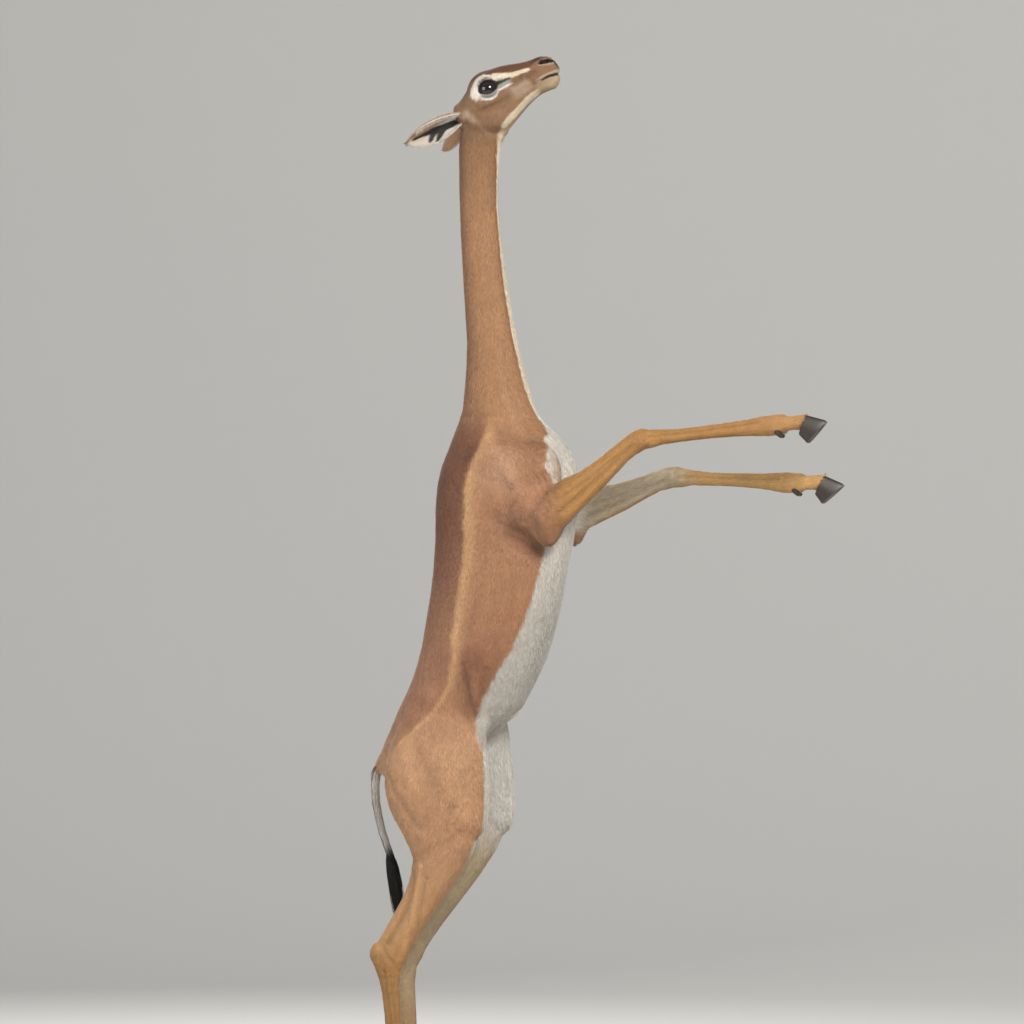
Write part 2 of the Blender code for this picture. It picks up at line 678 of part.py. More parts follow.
def mouth_line():
    """A thin wedge that follows the lips from one corner of the mouth to the other."""
    right = [(forward, up, -out) for forward, up, out in MOUTH]
    left = [(forward, up, out) for forward, up, out in reversed(MOUTH[:-1])]
    path = [Vector(place) for place in right + left]
    rings = []
    for i, place in enumerate(path):
        along = (path[min(i + 1, len(path) - 1)] - path[max(i - 1, 0)]).normalized()
        outward = along.cross(Vector((0, 1, 0))).normalized()
        share = min(i, len(path) - 1 - i) / (len(MOUTH) - 1)
        opening = MOUTH_OPENING * (0.6 + 0.4 * min(1.0, 3 * share))
        half = Vector((0, opening / 2, 0))
        inner = place - outward * MOUTH_DEPTH
        outer = place + outward * MOUTH_DEPTH
        corners = (inner - half / 3, outer - half, outer + half, inner + half / 3)
        rings.append([HEAD @ point for point in corners])
    shape = bmesh.new()
    add_rings(shape, rings)
    return object_from("mouth line", shape)


def eyeball(name, side):
    shape = bmesh.new()
    gaze = HEAD.to_3x3() @ Vector((EYE_GAZE.x, EYE_GAZE.y, side * EYE_GAZE.z))
    turn = gaze.to_track_quat("Z", "Y").to_matrix().to_4x4()
    place = Matrix.Translation(in_head(EYE_MIDDLE, side)) @ turn
    bmesh.ops.create_uvsphere(shape, u_segments=18, v_segments=10, radius=EYE_RADIUS, matrix=place)
    return object_from(name, shape)


def ear(name, side, tip):
    """A leaf of skin rolled into a cup, open outwards, on a short root."""
    root = in_head(EAR_ROOT, side)
    along = (at(*tip) - root).normalized()
    opening = Vector((0.15, side * 0.80, -0.58))
    place = frame(root, along, opening)
    shape = bmesh.new()
    grid = []
    columns = 9
    for share, width, depth in smooth_rows(EAR, 0.085):
        row = []
        for k in range(columns):
            turn = math.radians(-104 + 208 * k / (columns - 1))
            across = math.sin(turn) / math.sin(math.radians(80)) * EAR_WIDTH / 2 * width
            hollow = -math.cos(turn) * depth
            across += side * EAR_SAG * math.sin(share * math.pi)
            row.append(shape.verts.new(place @ Vector((share * EAR_LENGTH, hollow, across))))
        grid.append(row)
    for near, far in zip(grid, grid[1:]):
        for k in range(columns - 1):
            shape.faces.new((near[k], near[k + 1], far[k + 1], far[k]))
    cup = object_from(name, shape)
    wall = cup.modifiers.new("Wall", "SOLIDIFY")
    wall.thickness = EAR_WALL
    wall.offset = 0.0
    wall.use_even_offset = False
    settle(cup)
    stalk = bmesh.new()
    add_strand(
        stalk,
        [place @ Vector((reach, sink, 0.0)) for reach, sink in EAR_STALK],
        EAR_STALK_RADII,
        spacing=0.011,
    )
    combine(cup, [object_from("stalk", stalk)], "UNION")
    return cup


def foot_frame(coronet, toe):
    """A foot's own frame: towards the toe, up, and sideways, with its middle at the coronet."""
    return frame(coronet, toe, UP)


def claw(name, foot, half):
    """One of a foot's two claws, flat below and flat along the slanting coronet above."""
    rings = []
    stages = ((0.0, 1.00, 1.00), (0.12, 1.00, 1.02), (0.55, 0.82, 1.00), (1.0, 0.66, 0.94))
    length = HOOF_TOE - HOOF_HEEL
    for rise, long, wide in stages:
        ring = []
        for k in range(16):
            angle = k * math.tau / 16
            forward = math.cos(angle)
            across = math.sin(angle) * (1 - 0.42 * forward - 0.10 * forward**2)
            if across < 0:
                across *= 0.80
            reach = HOOF_HEEL + 0.0015 * rise + length * long * (1 + forward) / 2
            top = -GAP + reach * math.tan(CORONET_SLOPE)
            height = -HOOF_HEIGHT + (top + HOOF_HEIGHT) * rise
            out = CLAW_APART / 2 + 0.8 * CLAW_WIDTH / 2 + across * wide * CLAW_WIDTH / 2
            ring.append(foot @ Vector((reach, height, half * out)))
        rings.append(ring)
    shape = bmesh.new()
    add_rings(shape, rings)
    return object_from(name, shape)


def coronet_cut(foot):
    """A block that takes off the leg below the slanting top of its hoof."""
    slope = foot @ Matrix.Rotation(CORONET_SLOPE, 4, "Z")
    depth, length, width = 0.05, 0.075, 0.05
    middle = slope @ Vector((0, -depth / 2, 0))
    along = slope.to_3x3() @ Vector((0, 1, 0))
    return block(middle, along, slope.to_3x3() @ Vector((1, 0, 0)), (depth, length, width))


def dewclaw(name, fetlock, behind, down, half):
    """A small blunt horn nail behind the fetlock."""
    root = fetlock + behind * 0.012 + Vector((0, half * 0.0085, 0))
    tip = root + behind * 0.0135 + down * 0.011 + Vector((0, half * 0.002, 0))
    shape = bmesh.new()
    add_strand(shape, [root, (root + tip) / 2, tip], [0.0072, 0.0066, 0.0030], spacing=0.006, sides=8)
    return object_from(name, shape)


def tail_tuft(name):
    """Long black hairs from the tail's end, as tapered locks that overlap, round a short core."""
    points, radii = tail_path()
    start = points[TAIL_END]
    along = (points[TAIL_END + 1] - points[TAIL_END - 1]).normalized()
    down = (along * 0.45 + Vector((0.04, 0.0, -1.0))).normalized()
    draw = random.Random(7)
    core = bmesh.new()
    add_strand(
        core,
        [start - along * 0.006, start + along * 0.014, start + along * 0.020 + down * 0.020],
        [radii[TAIL_END] * 0.98, 0.0098, 0.0060],
        spacing=0.008,
    )
    tuft = object_from(name, core)
    locks = []
    for k in range(TUFT_LOCKS):
        turn = k * math.tau * 0.381966
        ring_share = math.sqrt((k + 0.5) / TUFT_LOCKS)
        length = TUFT_LENGTH * (1.0 - 0.30 * ring_share * draw.random())
        outward = Vector((math.cos(turn), math.sin(turn) * 0.8, 0.0))
        root = start - along * 0.004 + outward * 0.0045 * ring_share
        bend = start + along * 0.020 + outward * TUFT_SPREAD * 0.85 * ring_share + down * length * 0.22
        middle = start + outward * TUFT_SPREAD * ring_share + down * length * 0.62 + along * 0.012
        tip = start + outward * TUFT_SPREAD * 0.55 * ring_share + down * length + along * 0.010
        rings = []
        for point, (wide, thin) in zip((root, bend, middle, tip), LOCK_SIZES):
            place = frame(point, down, outward)
            ring = []
            for quarter in range(4):
                angle = quarter * math.tau / 4
                ring.append(place @ Vector((0, thin * math.cos(angle), wide * math.sin(angle))))
            rings.append(ring)
        shape = bmesh.new()
        add_rings(shape, rings)
        locks.append(object_from("lock", shape))
    combine(tuft, locks, "UNION")
    top = block(start - along * (0.05 - GAP), along, FORWARD, (0.1, 0.08, 0.08))
    combine(tuft, [top], "DIFFERENCE")
    return keep_largest(tuft)


def base(name):
    """A plain board with round corners and a small bevel round its top."""
    shape = bmesh.new()
    place = Matrix.Translation((0, 0, STAND_HEIGHT / 2))
    sizes = Matrix.Diagonal((STAND_LENGTH, STAND_WIDTH, STAND_HEIGHT, 1))
    bmesh.ops.create_cube(shape, size=1.0, matrix=place @ sizes)
    upright = [edge for edge in shape.edges if abs(edge.verts[0].co.z - edge.verts[1].co.z) > GAP]
    bmesh.ops.bevel(
        shape, geom=upright, offset=STAND_CORNER, segments=5, profile=0.5, affect="EDGES"
    )
    rim = [edge for edge in shape.edges if min(corner.co.z for corner in edge.verts) > STAND_HEIGHT - GAP]
    bmesh.ops.bevel(shape, geom=rim, offset=STAND_EDGE, segments=2, profile=0.5, affect="EDGES")
    return object_from(name, shape)


def feet():
    """Each foot's name, frame, fetlock, and the directions behind it and down its leg."""
    found = []
    for side, label in ((RIGHT, "right"), (LEFT, "left")):
        joints = limb_joints(side)
        toe = Vector((1.0, side * 0.06, 0.0))
        found.append(("hind_" + label, foot_frame(joints["hind coronet"], toe), joints["hind fetlock"],
                      Vector((-1, 0, 0)), Vector((0, 0, -1))))
        rise = RIGHT_TOE_RISE if side == RIGHT else LEFT_TOE_RISE
        toe = Vector((math.cos(rise), 0.0, math.sin(rise)))
        found.append(("fore_" + label, foot_frame(joints["fore coronet"], toe), joints["fore fetlock"],
                      Vector((0, 0, -1)), Vector((1, 0, 0))))
    return found


def body_cuts():
    """Where the flesh below the head is parted, as thin plates."""
    cuts = [
        parting(at(0.060, 0, 1.470), Vector((0.10, 0, 1)), FORWARD, 0.26, 0.30),
        parting(at(0.055, 0, 1.115), Vector((0.13, 0, 1)), FORWARD, 0.36, 0.30),
        parting(at(-0.017, 0, 0.890), Vector((0.45, 0, 1)), FORWARD, 0.36, 0.30),
        parting(at(-0.045, 0, 0.692), UP, FORWARD, 0.27, 0.30),
        parting(at(-0.1968, 0, 0.734), UP, FORWARD, 0.040, 0.060),
    ]
    points, radii = tail_path()
    along = points[TAIL_END + 1] - points[TAIL_END - 1]
    cuts.append(parting(points[TAIL_END], along, FORWARD, 0.05, 0.05))
    for side in (RIGHT, LEFT):
        joints = limb_joints(side)
        shank = joints["hock"] - joints["stifle"]
        above_hock = joints["stifle"] + shank * 0.90
        cuts.append(parting(above_hock, shank, FORWARD, 0.11, 0.08))
        forearm = joints["carpus"] - joints["elbow"]
        above_carpus = joints["elbow"] + forearm * 0.93
        cuts.append(parting(above_carpus, forearm, UP, 0.09, 0.08))
        forward, upward = Vector((1, 0, 0.14)).normalized(), Vector((-0.14, 0, 1)).normalized()
        armpit = at(0.2025, side * ARMPIT_OUT, 1.302)
        outer = armpit + Vector((0, side * 0.05, 0))
        cuts.append(parting(outer, forward, upward, 0.25, 0.10))
        cuts.append(parting(armpit + forward * 0.034, Vector((0, 1, 0)), upward, 0.25, 0.07))
    return cuts


def neck_cut():
    """The plane between head and neck: its middle and its upward direction."""
    return at(0.022, 0, 2.017), Vector((0.12, 0, 1)).normalized()


def body_names():
    """The body's nodes, each with a place near its middle."""
    names = {
        "neck": at(0.03, 0, 1.74),
        "chest": at(0.08, 0, 1.30),
        "belly": at(0.04, 0, 1.00),
        "rump": at(-0.06, 0, 0.80),
        "tail": at(-0.19, 0, 0.66),
    }
    for side, label in ((RIGHT, "right"), (LEFT, "left")):
        joints = limb_joints(side)
        names["hind_leg_upper_" + label] = (joints["stifle"] * 2 + joints["hock"]) / 3
        names["hind_leg_lower_" + label] = (joints["hock"] + joints["hind fetlock"]) / 2
        names["foreleg_upper_" + label] = (joints["elbow"] + joints["carpus"]) / 2
        names["foreleg_lower_" + label] = (joints["carpus"] + joints["fore fetlock"]) / 2
    return names


def part_body(flesh):
    """Cuts the flesh into its named nodes and drops what belongs to none."""
    middle, upward = neck_cut()
    above = block(middle + upward * (0.1 - GAP / 2), upward, FORWARD, (0.2, 0.3, 0.3))
    beyond = [coronet_cut(foot) for name, foot, *rest in feet()]
    combine(flesh, [above, *beyond], "DIFFERENCE")
    for cut in body_cuts():
        combine(flesh, [cut], "DIFFERENCE")
    nodes = {}
    places = body_names()
    for piece in sorted(loose_pieces(flesh), key=volume_of, reverse=True):
        name = min(places, key=lambda name: (places[name] - middle_of(piece)).length)
        if name in nodes:
            remove([piece])
            continue
        piece.name = name
        nodes[name] = piece
    return nodes


def part_head(flesh):
    """Cuts the head off its neck and opens its mouth, nostrils, lids and eye sockets."""
    middle, upward = neck_cut()
    below = block(middle - upward * (0.2 - GAP / 2), upward, FORWARD, (0.4, 0.5, 0.5))
    cutters = [below, mouth_line()]
    for side in (RIGHT, LEFT):
        cutters += [nostril(side), lid_opening(side), grown(bpy.data.objects[EYE_NAMES[side]])]
    combine(flesh, cutters, "DIFFERENCE")
    return keep_largest(flesh)


EYE_NAMES = {RIGHT: "eye_right", LEFT: "eye_left"}


def main():
    remove(list(bpy.data.objects))
    body = fuse_flesh("body", body_shape(), BODY_VOXEL, BODY_SOFTENING, BODY_TRIANGLES, trunk_weight)
    nodes = part_body(body)
    for side, name in EYE_NAMES.items():
        finish_with(eyeball(name, side), "eye", EYE_BLACK, 0.05)
    head = part_head(fuse_flesh("head", head_shape(), HEAD_VOXEL, HEAD_SOFTENING, HEAD_TRIANGLES))
    nodes["head"] = head
    for name, side, tip in (("ear_right", RIGHT, RIGHT_EAR_TIP), ("ear_left", LEFT, LEFT_EAR_TIP)):
        nodes[name] = seat(ear(name, side, tip), head)
    for piece in nodes.values():
        finish_with(piece, "coat", COAT, 0.75)
    finish_with(tail_tuft("tail_tuft"), "black hair", BLACK_HAIR, 0.6)
    for label, foot, fetlock, behind, down in feet():
        kind, side = label.split("_")
        leg = nodes[("hind_leg_lower_" if kind == "hind" else "foreleg_lower_") + side]
        for half, which in ((1, "a"), (-1, "b")):
            finish_with(claw(f"hoof_{label}_{which}", foot, half), "horn", HORN, 0.4)
            nail = dewclaw(f"dewclaw_{label}_{which}", fetlock, behind, down, half)
            finish_with(seat(nail, leg), "horn", HORN, 0.4)
    finish_with(base("stand_base"), "oak", OAK, 0.5)


main()
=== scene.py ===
# %% [markdown]
# # A gerenuk doe reared up to browse, as a life-size museum model
#
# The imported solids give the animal's form. This lesson dresses them. One skin is made from all the
# flesh, its folds and features are worked into it, and a coat of short solid tufts is laid over it
# along the lie of the hair. Eyes, hooves and the tail's long hairs come after that, then the board
# it stands on, the room, the lights and the camera.
#
# Metres, +Z up. The animal faces +X, and its own right side is -Y.

import math

import bmesh
import bpy
import numpy as np
from mathutils import Matrix, Vector


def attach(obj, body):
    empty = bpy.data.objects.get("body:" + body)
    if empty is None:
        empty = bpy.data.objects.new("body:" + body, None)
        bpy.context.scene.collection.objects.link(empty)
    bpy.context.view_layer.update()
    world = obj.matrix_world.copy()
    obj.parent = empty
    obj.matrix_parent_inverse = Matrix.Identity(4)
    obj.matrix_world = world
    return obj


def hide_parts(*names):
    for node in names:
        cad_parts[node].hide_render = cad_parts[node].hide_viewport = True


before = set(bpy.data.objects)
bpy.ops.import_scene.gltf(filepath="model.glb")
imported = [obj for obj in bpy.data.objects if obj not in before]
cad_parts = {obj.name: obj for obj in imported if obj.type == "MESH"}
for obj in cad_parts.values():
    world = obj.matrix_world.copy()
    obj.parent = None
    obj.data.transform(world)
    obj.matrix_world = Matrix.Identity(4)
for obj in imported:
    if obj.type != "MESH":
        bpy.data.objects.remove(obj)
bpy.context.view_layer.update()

RIGHT, LEFT = -1, 1
SIDES = {"right": RIGHT, "left": LEFT}
SOLE = 0.0343  # top of the board, with its gap

# %% [markdown]
# ## Colours
#
# A gerenuk is marked by a few colours of hair: a dark saddle, a light band under it, a tan flank and
# a white belly. They could be typed as linear numbers, which nobody can read. Here they are sRGB hex
# codes, as a painter's chart gives them, and one function turns them to linear light.

# %% Colours of hair and skin
def hex_colour(code):
    """An sRGB hex code as linear red, green and blue."""
    channels = [int(code[i:i + 2], 16) / 255 for i in (1, 3, 5)]
    return np.array([c / 12.92 if c <= 0.04045 else ((c + 0.055) / 1.055) ** 2.4 for c in channels])


SADDLE = hex_colour("#744B36")
SADDLE_LOW = hex_colour("#9A6E52")
LIGHT_BAND = hex_colour("#BE9369")
FLANK = hex_colour("#9E7254")
NECK_TAN = hex_colour("#A07653")
HAUNCH = hex_colour("#B38865")
LEG_TAN = hex_colour("#A67A47")
SHIN_TAN = hex_colour("#B98D62")
WHITE_HAIR = hex_colour("#D5CFC5")
CREAM = hex_colour("#DCCDB2")
INNER_SHANK = hex_colour("#AC9A7D")
# A painted highlight for the shoulder blade
SHOULDER_HIGHLIGHT = hex_colour("#B28C70")
# The pale inside of the legs, greyed and cooled as in shade: partly its own colour, partly painted shade
INNER_LEG_SHADED = hex_colour("#BFBBB4")
INNER_CANNON = hex_colour("#BE9560")
FACE_TAN = hex_colour("#846449")
NOSE_BROWN = hex_colour("#63402E")
BLACK_HAIR = hex_colour("#17120F")
DARK_SKIN = hex_colour("#241C19")
EAR_BACK = hex_colour("#A8815F")
print("darkest hair", BLACK_HAIR.round(3), "lightest", WHITE_HAIR.round(3))

# %% [markdown]
# ## The animal's measures
#
# These are the sizes that the solids were built from: level slices through trunk and neck, the head's
# own frame, and the joints of the legs. They could be measured on the solids' meshes, but tables are
# exact, and let a place on the body be found from its height and its angle round the trunk.

# %% Level slices of trunk and neck
# Height above the soles, back, front and half width, in metres
SLICES = np.array(
    (
        (0.700, -0.140, -0.080, 0.030),
        (0.720, -0.165, -0.050, 0.052),
        (0.750, -0.178, -0.020, 0.066),
        (0.780, -0.186, 0.004, 0.074),
        (0.820, -0.175, 0.037, 0.080),
        (0.846, -0.163, 0.068, 0.083),
        (0.880, -0.148, 0.104, 0.088),
        (0.920, -0.128, 0.127, 0.096),
        (0.980, -0.105, 0.155, 0.104),
        (1.060, -0.089, 0.180, 0.106),
        (1.140, -0.077, 0.197, 0.102),
        (1.220, -0.071, 0.214, 0.097),
        (1.300, -0.070, 0.224, 0.092),
        (1.360, -0.061, 0.222, 0.086),
        (1.400, -0.046, 0.207, 0.078),
        (1.440, -0.030, 0.168, 0.062),
        (1.480, -0.017, 0.139, 0.051),
        (1.540, -0.010, 0.118, 0.044),
        (1.600, -0.007, 0.103, 0.040),
        (1.700, -0.012, 0.083, 0.036),
        (1.800, -0.018, 0.068, 0.034),
        (1.900, -0.022, 0.059, 0.033),
        (2.000, -0.023, 0.064, 0.034),
    )
)
print("slices", len(SLICES), "from", SLICES[0, 0], "to", SLICES[-1, 0])

# %% The head's own frame, its eyes, mouth and nostrils
HEAD_PITCH = math.radians(28.0)  # how far the muzzle is raised
HEAD_MIDDLE = np.array((0.0414, 0.0, 2.116 + SOLE))
EYE_MIDDLE = np.array((0.0060, 0.0010, 0.0275))
EYE_GAZE = np.array((0.16, 0.03, 1.0)) / np.linalg.norm((0.16, 0.03, 1.0))
EYE_RADIUS = 0.0200
LID_LENGTH, LID_HEIGHT = 0.0340, 0.0268
LID_TILT = math.radians(3.0)
LID_LINE = np.array((math.cos(LID_TILT), math.sin(LID_TILT), 0.0))
MOUTH = np.array(
    (
        (0.094, -0.0325, 0.0190),
        (0.104, -0.0335, 0.0188),
        (0.115, -0.0338, 0.0182),
        (0.126, -0.0342, 0.0168),
        (0.135, -0.0352, 0.0135),
        (0.141, -0.0362, 0.0075),
        (0.1435, -0.0366, 0.0000),
    )
)
NOSTRIL = np.array(((0.119, -0.0015, 0.0190), (0.130, -0.0045, 0.0165), (0.142, -0.0085, 0.0105)))
MOUTH_DEPTH, NOSTRIL_DEPTH = 0.0040, 0.0065  # how deep the line of the lips and the nostrils are
NOSE_PAD = (0.147, -0.016, 0.0)
HEAD_FOOT, HEAD_BACK = 2.010 + SOLE, -0.105  # the cut to the neck: its height, and how far back
print("the head's frame is at", HEAD_MIDDLE)

# %% Ears
EAR_LENGTH, EAR_WIDTH, EAR_WALL, EAR_SAG = 0.130, 0.050, 0.0016, 0.0030
EAR_WIDEST = math.sin(math.radians(80))  # the cup is at its widest 80 degrees round
EAR_ROOT = np.array((-0.0630, -0.0220, 0.0320))
EAR_TIPS = {
    RIGHT: np.array((-0.113, -0.082, 2.008 + SOLE)),
    LEFT: np.array((-0.085, 0.110, 2.010 + SOLE)),
}
# Share of the ear's length, share of its width, depth of its cup
EAR_ROWS = np.array(
    (
        (0.00, 0.36, 0.0120),
        (0.08, 0.50, 0.0150),
        (0.20, 0.75, 0.0185),
        (0.34, 0.94, 0.0185),
        (0.50, 1.00, 0.0165),
        (0.64, 0.96, 0.0135),
        (0.78, 0.78, 0.0100),
        (0.89, 0.52, 0.0062),
        (0.96, 0.28, 0.0030),
        (1.00, 0.08, 0.0008),
    )
)
print("ear", EAR_LENGTH, "by", EAR_WIDTH)


# %% Legs and tail
def above_soles(*places):
    """Places in the world, from heights above the soles."""
    return np.array(places) + (0, 0, SOLE)


def leg_points(side):
    """One side's leg joints, from the trunk to the hoof."""
    forward = 0.014 if side == LEFT else 0.0
    if side == RIGHT:
        fore = ((0.377, 0.090, 1.418), (0.648, 0.078, 1.448), (0.701, 0.078, 1.452))
    else:
        fore = ((0.400, 0.090, 1.344), (0.648, 0.078, 1.334), (0.702, 0.078, 1.334))
    hind = (
        (-0.045, 0.068, 0.860),
        (0.016 + forward, 0.072, 0.676),
        (-0.153, 0.056, 0.388),
        (-0.132, 0.056, 0.106),
        (-0.095, 0.056, 0.036),
    )
    place = np.array((1, side, 1))
    hind = np.array(hind) * place + (0, 0, SOLE)
    fore = np.array(((0.080, 0.070, 1.390), (0.197, 0.098, 1.262), *fore)) * place + (0, 0, SOLE)
    return hind, fore


TAIL = above_soles(
    (-0.148, 0.0, 0.806),
    (-0.178, 0.0, 0.783),
    (-0.1935, 0.0, 0.756),
    (-0.197, 0.0, 0.730),
    (-0.196, 0.0, 0.700),
    (-0.191, 0.0, 0.670),
    (-0.184, 0.0, 0.640),
    (-0.174, 0.0, 0.610),
    (-0.1635, 0.0, 0.582),
)
print("hock of the right hind leg", leg_points(RIGHT)[0][2], "tip of the tail", TAIL[-1])

# %% [markdown]
# ## Helpers for places and blends
#
# On the animal one colour or form always fades into the next. Each fade could be painted by hand, but
# a function of the place is exact, and is changed later by one number. These helpers give soft steps,
# blends, the head's own frame, the distance to a drawn path, and a smooth noise.


# %% Soft steps, blends and the head's frame
def smooth_step(low, high, value):
    """0 up to one value, 1 from another, and an S curve between them."""
    share = np.clip((value - low) / (high - low), 0.0, 1.0)
    return share * share * (3 - 2 * share)


def mixed(first, second, share):
    """Colours or vectors blended row by row."""
    share = np.asarray(share)[..., None]
    return first * (1 - share) + second * share


def normalised(vectors):
    """The same directions with a length of one."""
    return vectors / np.maximum(np.linalg.norm(vectors, axis=-1, keepdims=True), 1e-9)


def to_head(points):
    """World places in the head's own frame: forward, up, and out of the mid plane on either side."""
    away = points - HEAD_MIDDLE
    forward = away[..., 0] * math.cos(HEAD_PITCH) + away[..., 2] * math.sin(HEAD_PITCH)
    up = -away[..., 0] * math.sin(HEAD_PITCH) + away[..., 2] * math.cos(HEAD_PITCH)
    return np.stack([forward, up, np.abs(away[..., 1])], axis=-1)


def from_head(places, side):
    """The head's own places back in the world, on one side."""
    places = np.atleast_2d(places)
    forward, up, out = places[:, 0], places[:, 1], places[:, 2]
    x = forward * math.cos(HEAD_PITCH) - up * math.sin(HEAD_PITCH)
    z = forward * math.sin(HEAD_PITCH) + up * math.cos(HEAD_PITCH)
    return np.stack([x, side * out, z], axis=-1) + HEAD_MIDDLE


print("the eyes are at", [from_head(EYE_MIDDLE, side)[0].round(4) for side in SIDES.values()])


# %% Distance to a path, and smooth noise
def path_distance(points, path):
    """Each point's distance to a path, how far along it that is, from 0 to 1, and its direction."""
    nearest = np.full(len(points), np.inf)
    along = np.zeros(len(points))
    heading = np.zeros_like(points)
    steps = np.linalg.norm(np.diff(path, axis=0), axis=1)
    starts = np.concatenate([[0.0], np.cumsum(steps)])
    for start, end, step, before in zip(path, path[1:], steps, starts):
        share = np.clip((points - start) @ (end - start) / step**2, 0.0, 1.0)
        gap = np.linalg.norm(points - start - share[:, None] * (end - start), axis=1)
        closer = gap < nearest
        nearest[closer] = gap[closer]
        along[closer] = (before + share[closer] * step) / starts[-1]
        heading[closer] = (end - start) / step
    return nearest, along, heading


def spot(place, path, low, high):
    """1 near a path, falling to 0 between two distances."""
    return smooth_step(high, low, path_distance(place, np.atleast_2d(path))[0])


def noise(points, scale, seed):
    """Smooth seeded noise from -1 to 1: value noise on a lattice, its cells scattered by large primes."""
    cells = points / scale
    low = np.floor(cells).astype(np.int64)
    part = cells - low
    part = part * part * (3 - 2 * part)
    total = np.zeros(len(points))
    for corner in range(8):
        step = np.array([(corner >> axis) & 1 for axis in range(3)])
        cell = low + step
        mash = (cell[:, 0] * 73856093) ^ (cell[:, 1] * 19349663) ^ (cell[:, 2] * 83492791) ^ (seed * 2654435)
        mash = (mash ^ (mash >> 13)) * 1274126177 & 0x7FFFFFFF
        weight = np.prod(np.where(step, part, 1 - part), axis=1)
        total += weight * ((mash % 65536) / 32768.0 - 1.0)
    return total


print("noise at the head", noise(HEAD_MIDDLE[None], 0.01, 1).round(3))

# %% [markdown]
# ## One skin from all the flesh
#
# A hide is one piece from nose to hoof, but the solids meet at joints. Booleans could join them, with
# a sharp edge left at each joint. The flesh nodes and the eyeballs are instead gathered, fused on a
# fine voxel grid and smoothed. The head is then divided finer, and finest round the eyes, the nostrils
# and the mouth, where the detail is.


# %% Meshes from arrays and back
def read_array(rows, name, kind=np.float32):
    """One property of a mesh's rows, three numbers to a row."""
    values = np.empty(len(rows) * 3, kind)
    rows.foreach_get(name, values)
    return values.reshape(-1, 3)


def write_array(rows, name, values, kind=np.float32):
    """Writes an array back to one property of the rows."""
    rows.foreach_set(name, np.ascontiguousarray(values, dtype=kind).ravel())


def mesh_object(name, points, faces):
    """A new object from arrays of places and of triangles or quads."""
    mesh = bpy.data.meshes.new(name)
    mesh.vertices.add(len(points))
    mesh.loops.add(faces.size)
    mesh.polygons.add(len(faces))
    write_array(mesh.vertices, "co", points)
    write_array(mesh.loops, "vertex_index", faces, np.int32)
    write_array(mesh.polygons, "loop_start", np.arange(0, faces.size, faces.shape[1]), np.int32)
    mesh.update(calc_edges=True)
    piece = bpy.data.objects.new(name, mesh)
    bpy.context.scene.collection.objects.link(piece)
    return piece


def triangles_of(mesh):
    """Three corner numbers for each triangle."""
    mesh.calc_loop_triangles()
    return read_array(mesh.loop_triangles, "vertices", np.int32)


def corners_of(piece):
    """The place of each corner."""
    return read_array(piece.data.vertices, "co").astype(float)


def normals_of(piece):
    """The outward direction at each corner."""
    return read_array(piece.data.vertex_normals, "vector").astype(float)


def set_corners(piece, points):
    write_array(piece.data.vertices, "co", points)
    piece.data.update()


def gathered_nodes(name, nodes):
    """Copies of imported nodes, in one object."""
    places, drawn, count = [], [], 0
    for node in nodes:
        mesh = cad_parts[node].data
        places.append(read_array(mesh.vertices, "co"))
        drawn.append(triangles_of(mesh) + count)
        count += len(mesh.vertices)
    return mesh_object(name, np.concatenate(places), np.concatenate(drawn))


# %% Modifiers, and a weight for where they act
def modify(piece, kind, **settings):
    """Adds a modifier with its settings."""
    modifier = piece.modifiers.new(kind.title(), kind)
    for name, value in settings.items():
        setattr(modifier, name, value)


def apply_modifiers(piece):
    """Puts what the modifiers make in place of the piece's mesh."""
    graph = bpy.context.evaluated_depsgraph_get()
    mesh = bpy.data.meshes.new_from_object(piece.evaluated_get(graph))
    piece.modifiers.clear()
    piece.data = mesh


WEIGHT_STEPS = 20


def weigh(piece, name, weights):
    """A vertex group from an array of weights."""
    group = piece.vertex_groups.new(name=name)
    steps = np.round(np.clip(weights, 0, 1) * WEIGHT_STEPS).astype(int)
    for step in range(1, WEIGHT_STEPS + 1):
        chosen = np.nonzero(steps == step)[0]
        if len(chosen):
            group.add(chosen.tolist(), step / WEIGHT_STEPS, "REPLACE")
    return group.name


# %% Fuse the flesh
FLESH = [
    "head", "neck", "chest", "belly", "rump", "tail",
    *(
        f"{leg}_{part}_{side}"
        for leg in ("hind_leg", "foreleg")
        for part in ("upper", "lower")
        for side in SIDES
    ),
]
EARS = ["ear_right", "ear_left"]
SKIN_GRID = 0.0030
SMOOTHING_ROUNDS = 7
SHRINK, SWELL = 0.50, -0.52  # each round smooths and then swells back, so that thin parts keep their size

skin = gathered_nodes("skin", FLESH + ["eye_right", "eye_left"])
modify(skin, "REMESH", mode="VOXEL", voxel_size=SKIN_GRID)
for number in range(SMOOTHING_ROUNDS):
    modify(skin, "SMOOTH", factor=SHRINK, iterations=1)
    modify(skin, "SMOOTH", factor=SWELL, iterations=1)
apply_modifiers(skin)
print("fused skin faces", len(skin.data.polygons))

# %% Smooth the steps between the solids
# Where masses meet in steps at knee, hip and elbow: place as forward and height, and reach each way
SOFT_PLACES = (
    ((-0.030, 0.612 + SOLE), (0.090, 0.050)),
    ((-0.040, 0.692 + SOLE), (0.110, 0.035)),
    ((0.010, 0.880 + SOLE), (0.130, 0.050)),
    ((0.140, 1.290 + SOLE), (0.100, 0.130)),
    ((-0.150, 0.390 + SOLE), (0.040, 0.040)),
)
points = corners_of(skin)
soft = np.zeros(len(points))
for (forward, height), (long, tall) in SOFT_PLACES:
    away = np.hypot((points[:, 0] - forward) / long, (points[:, 2] - height) / tall)
    soft = np.maximum(soft, smooth_step(1.3, 0.5, away))
modify(skin, "SMOOTH", vertex_group=weigh(skin, "soft", soft), factor=0.5, iterations=14)
apply_modifiers(skin)
skin.vertex_groups.clear()
print("softened corners", int((soft > 0).sum()))


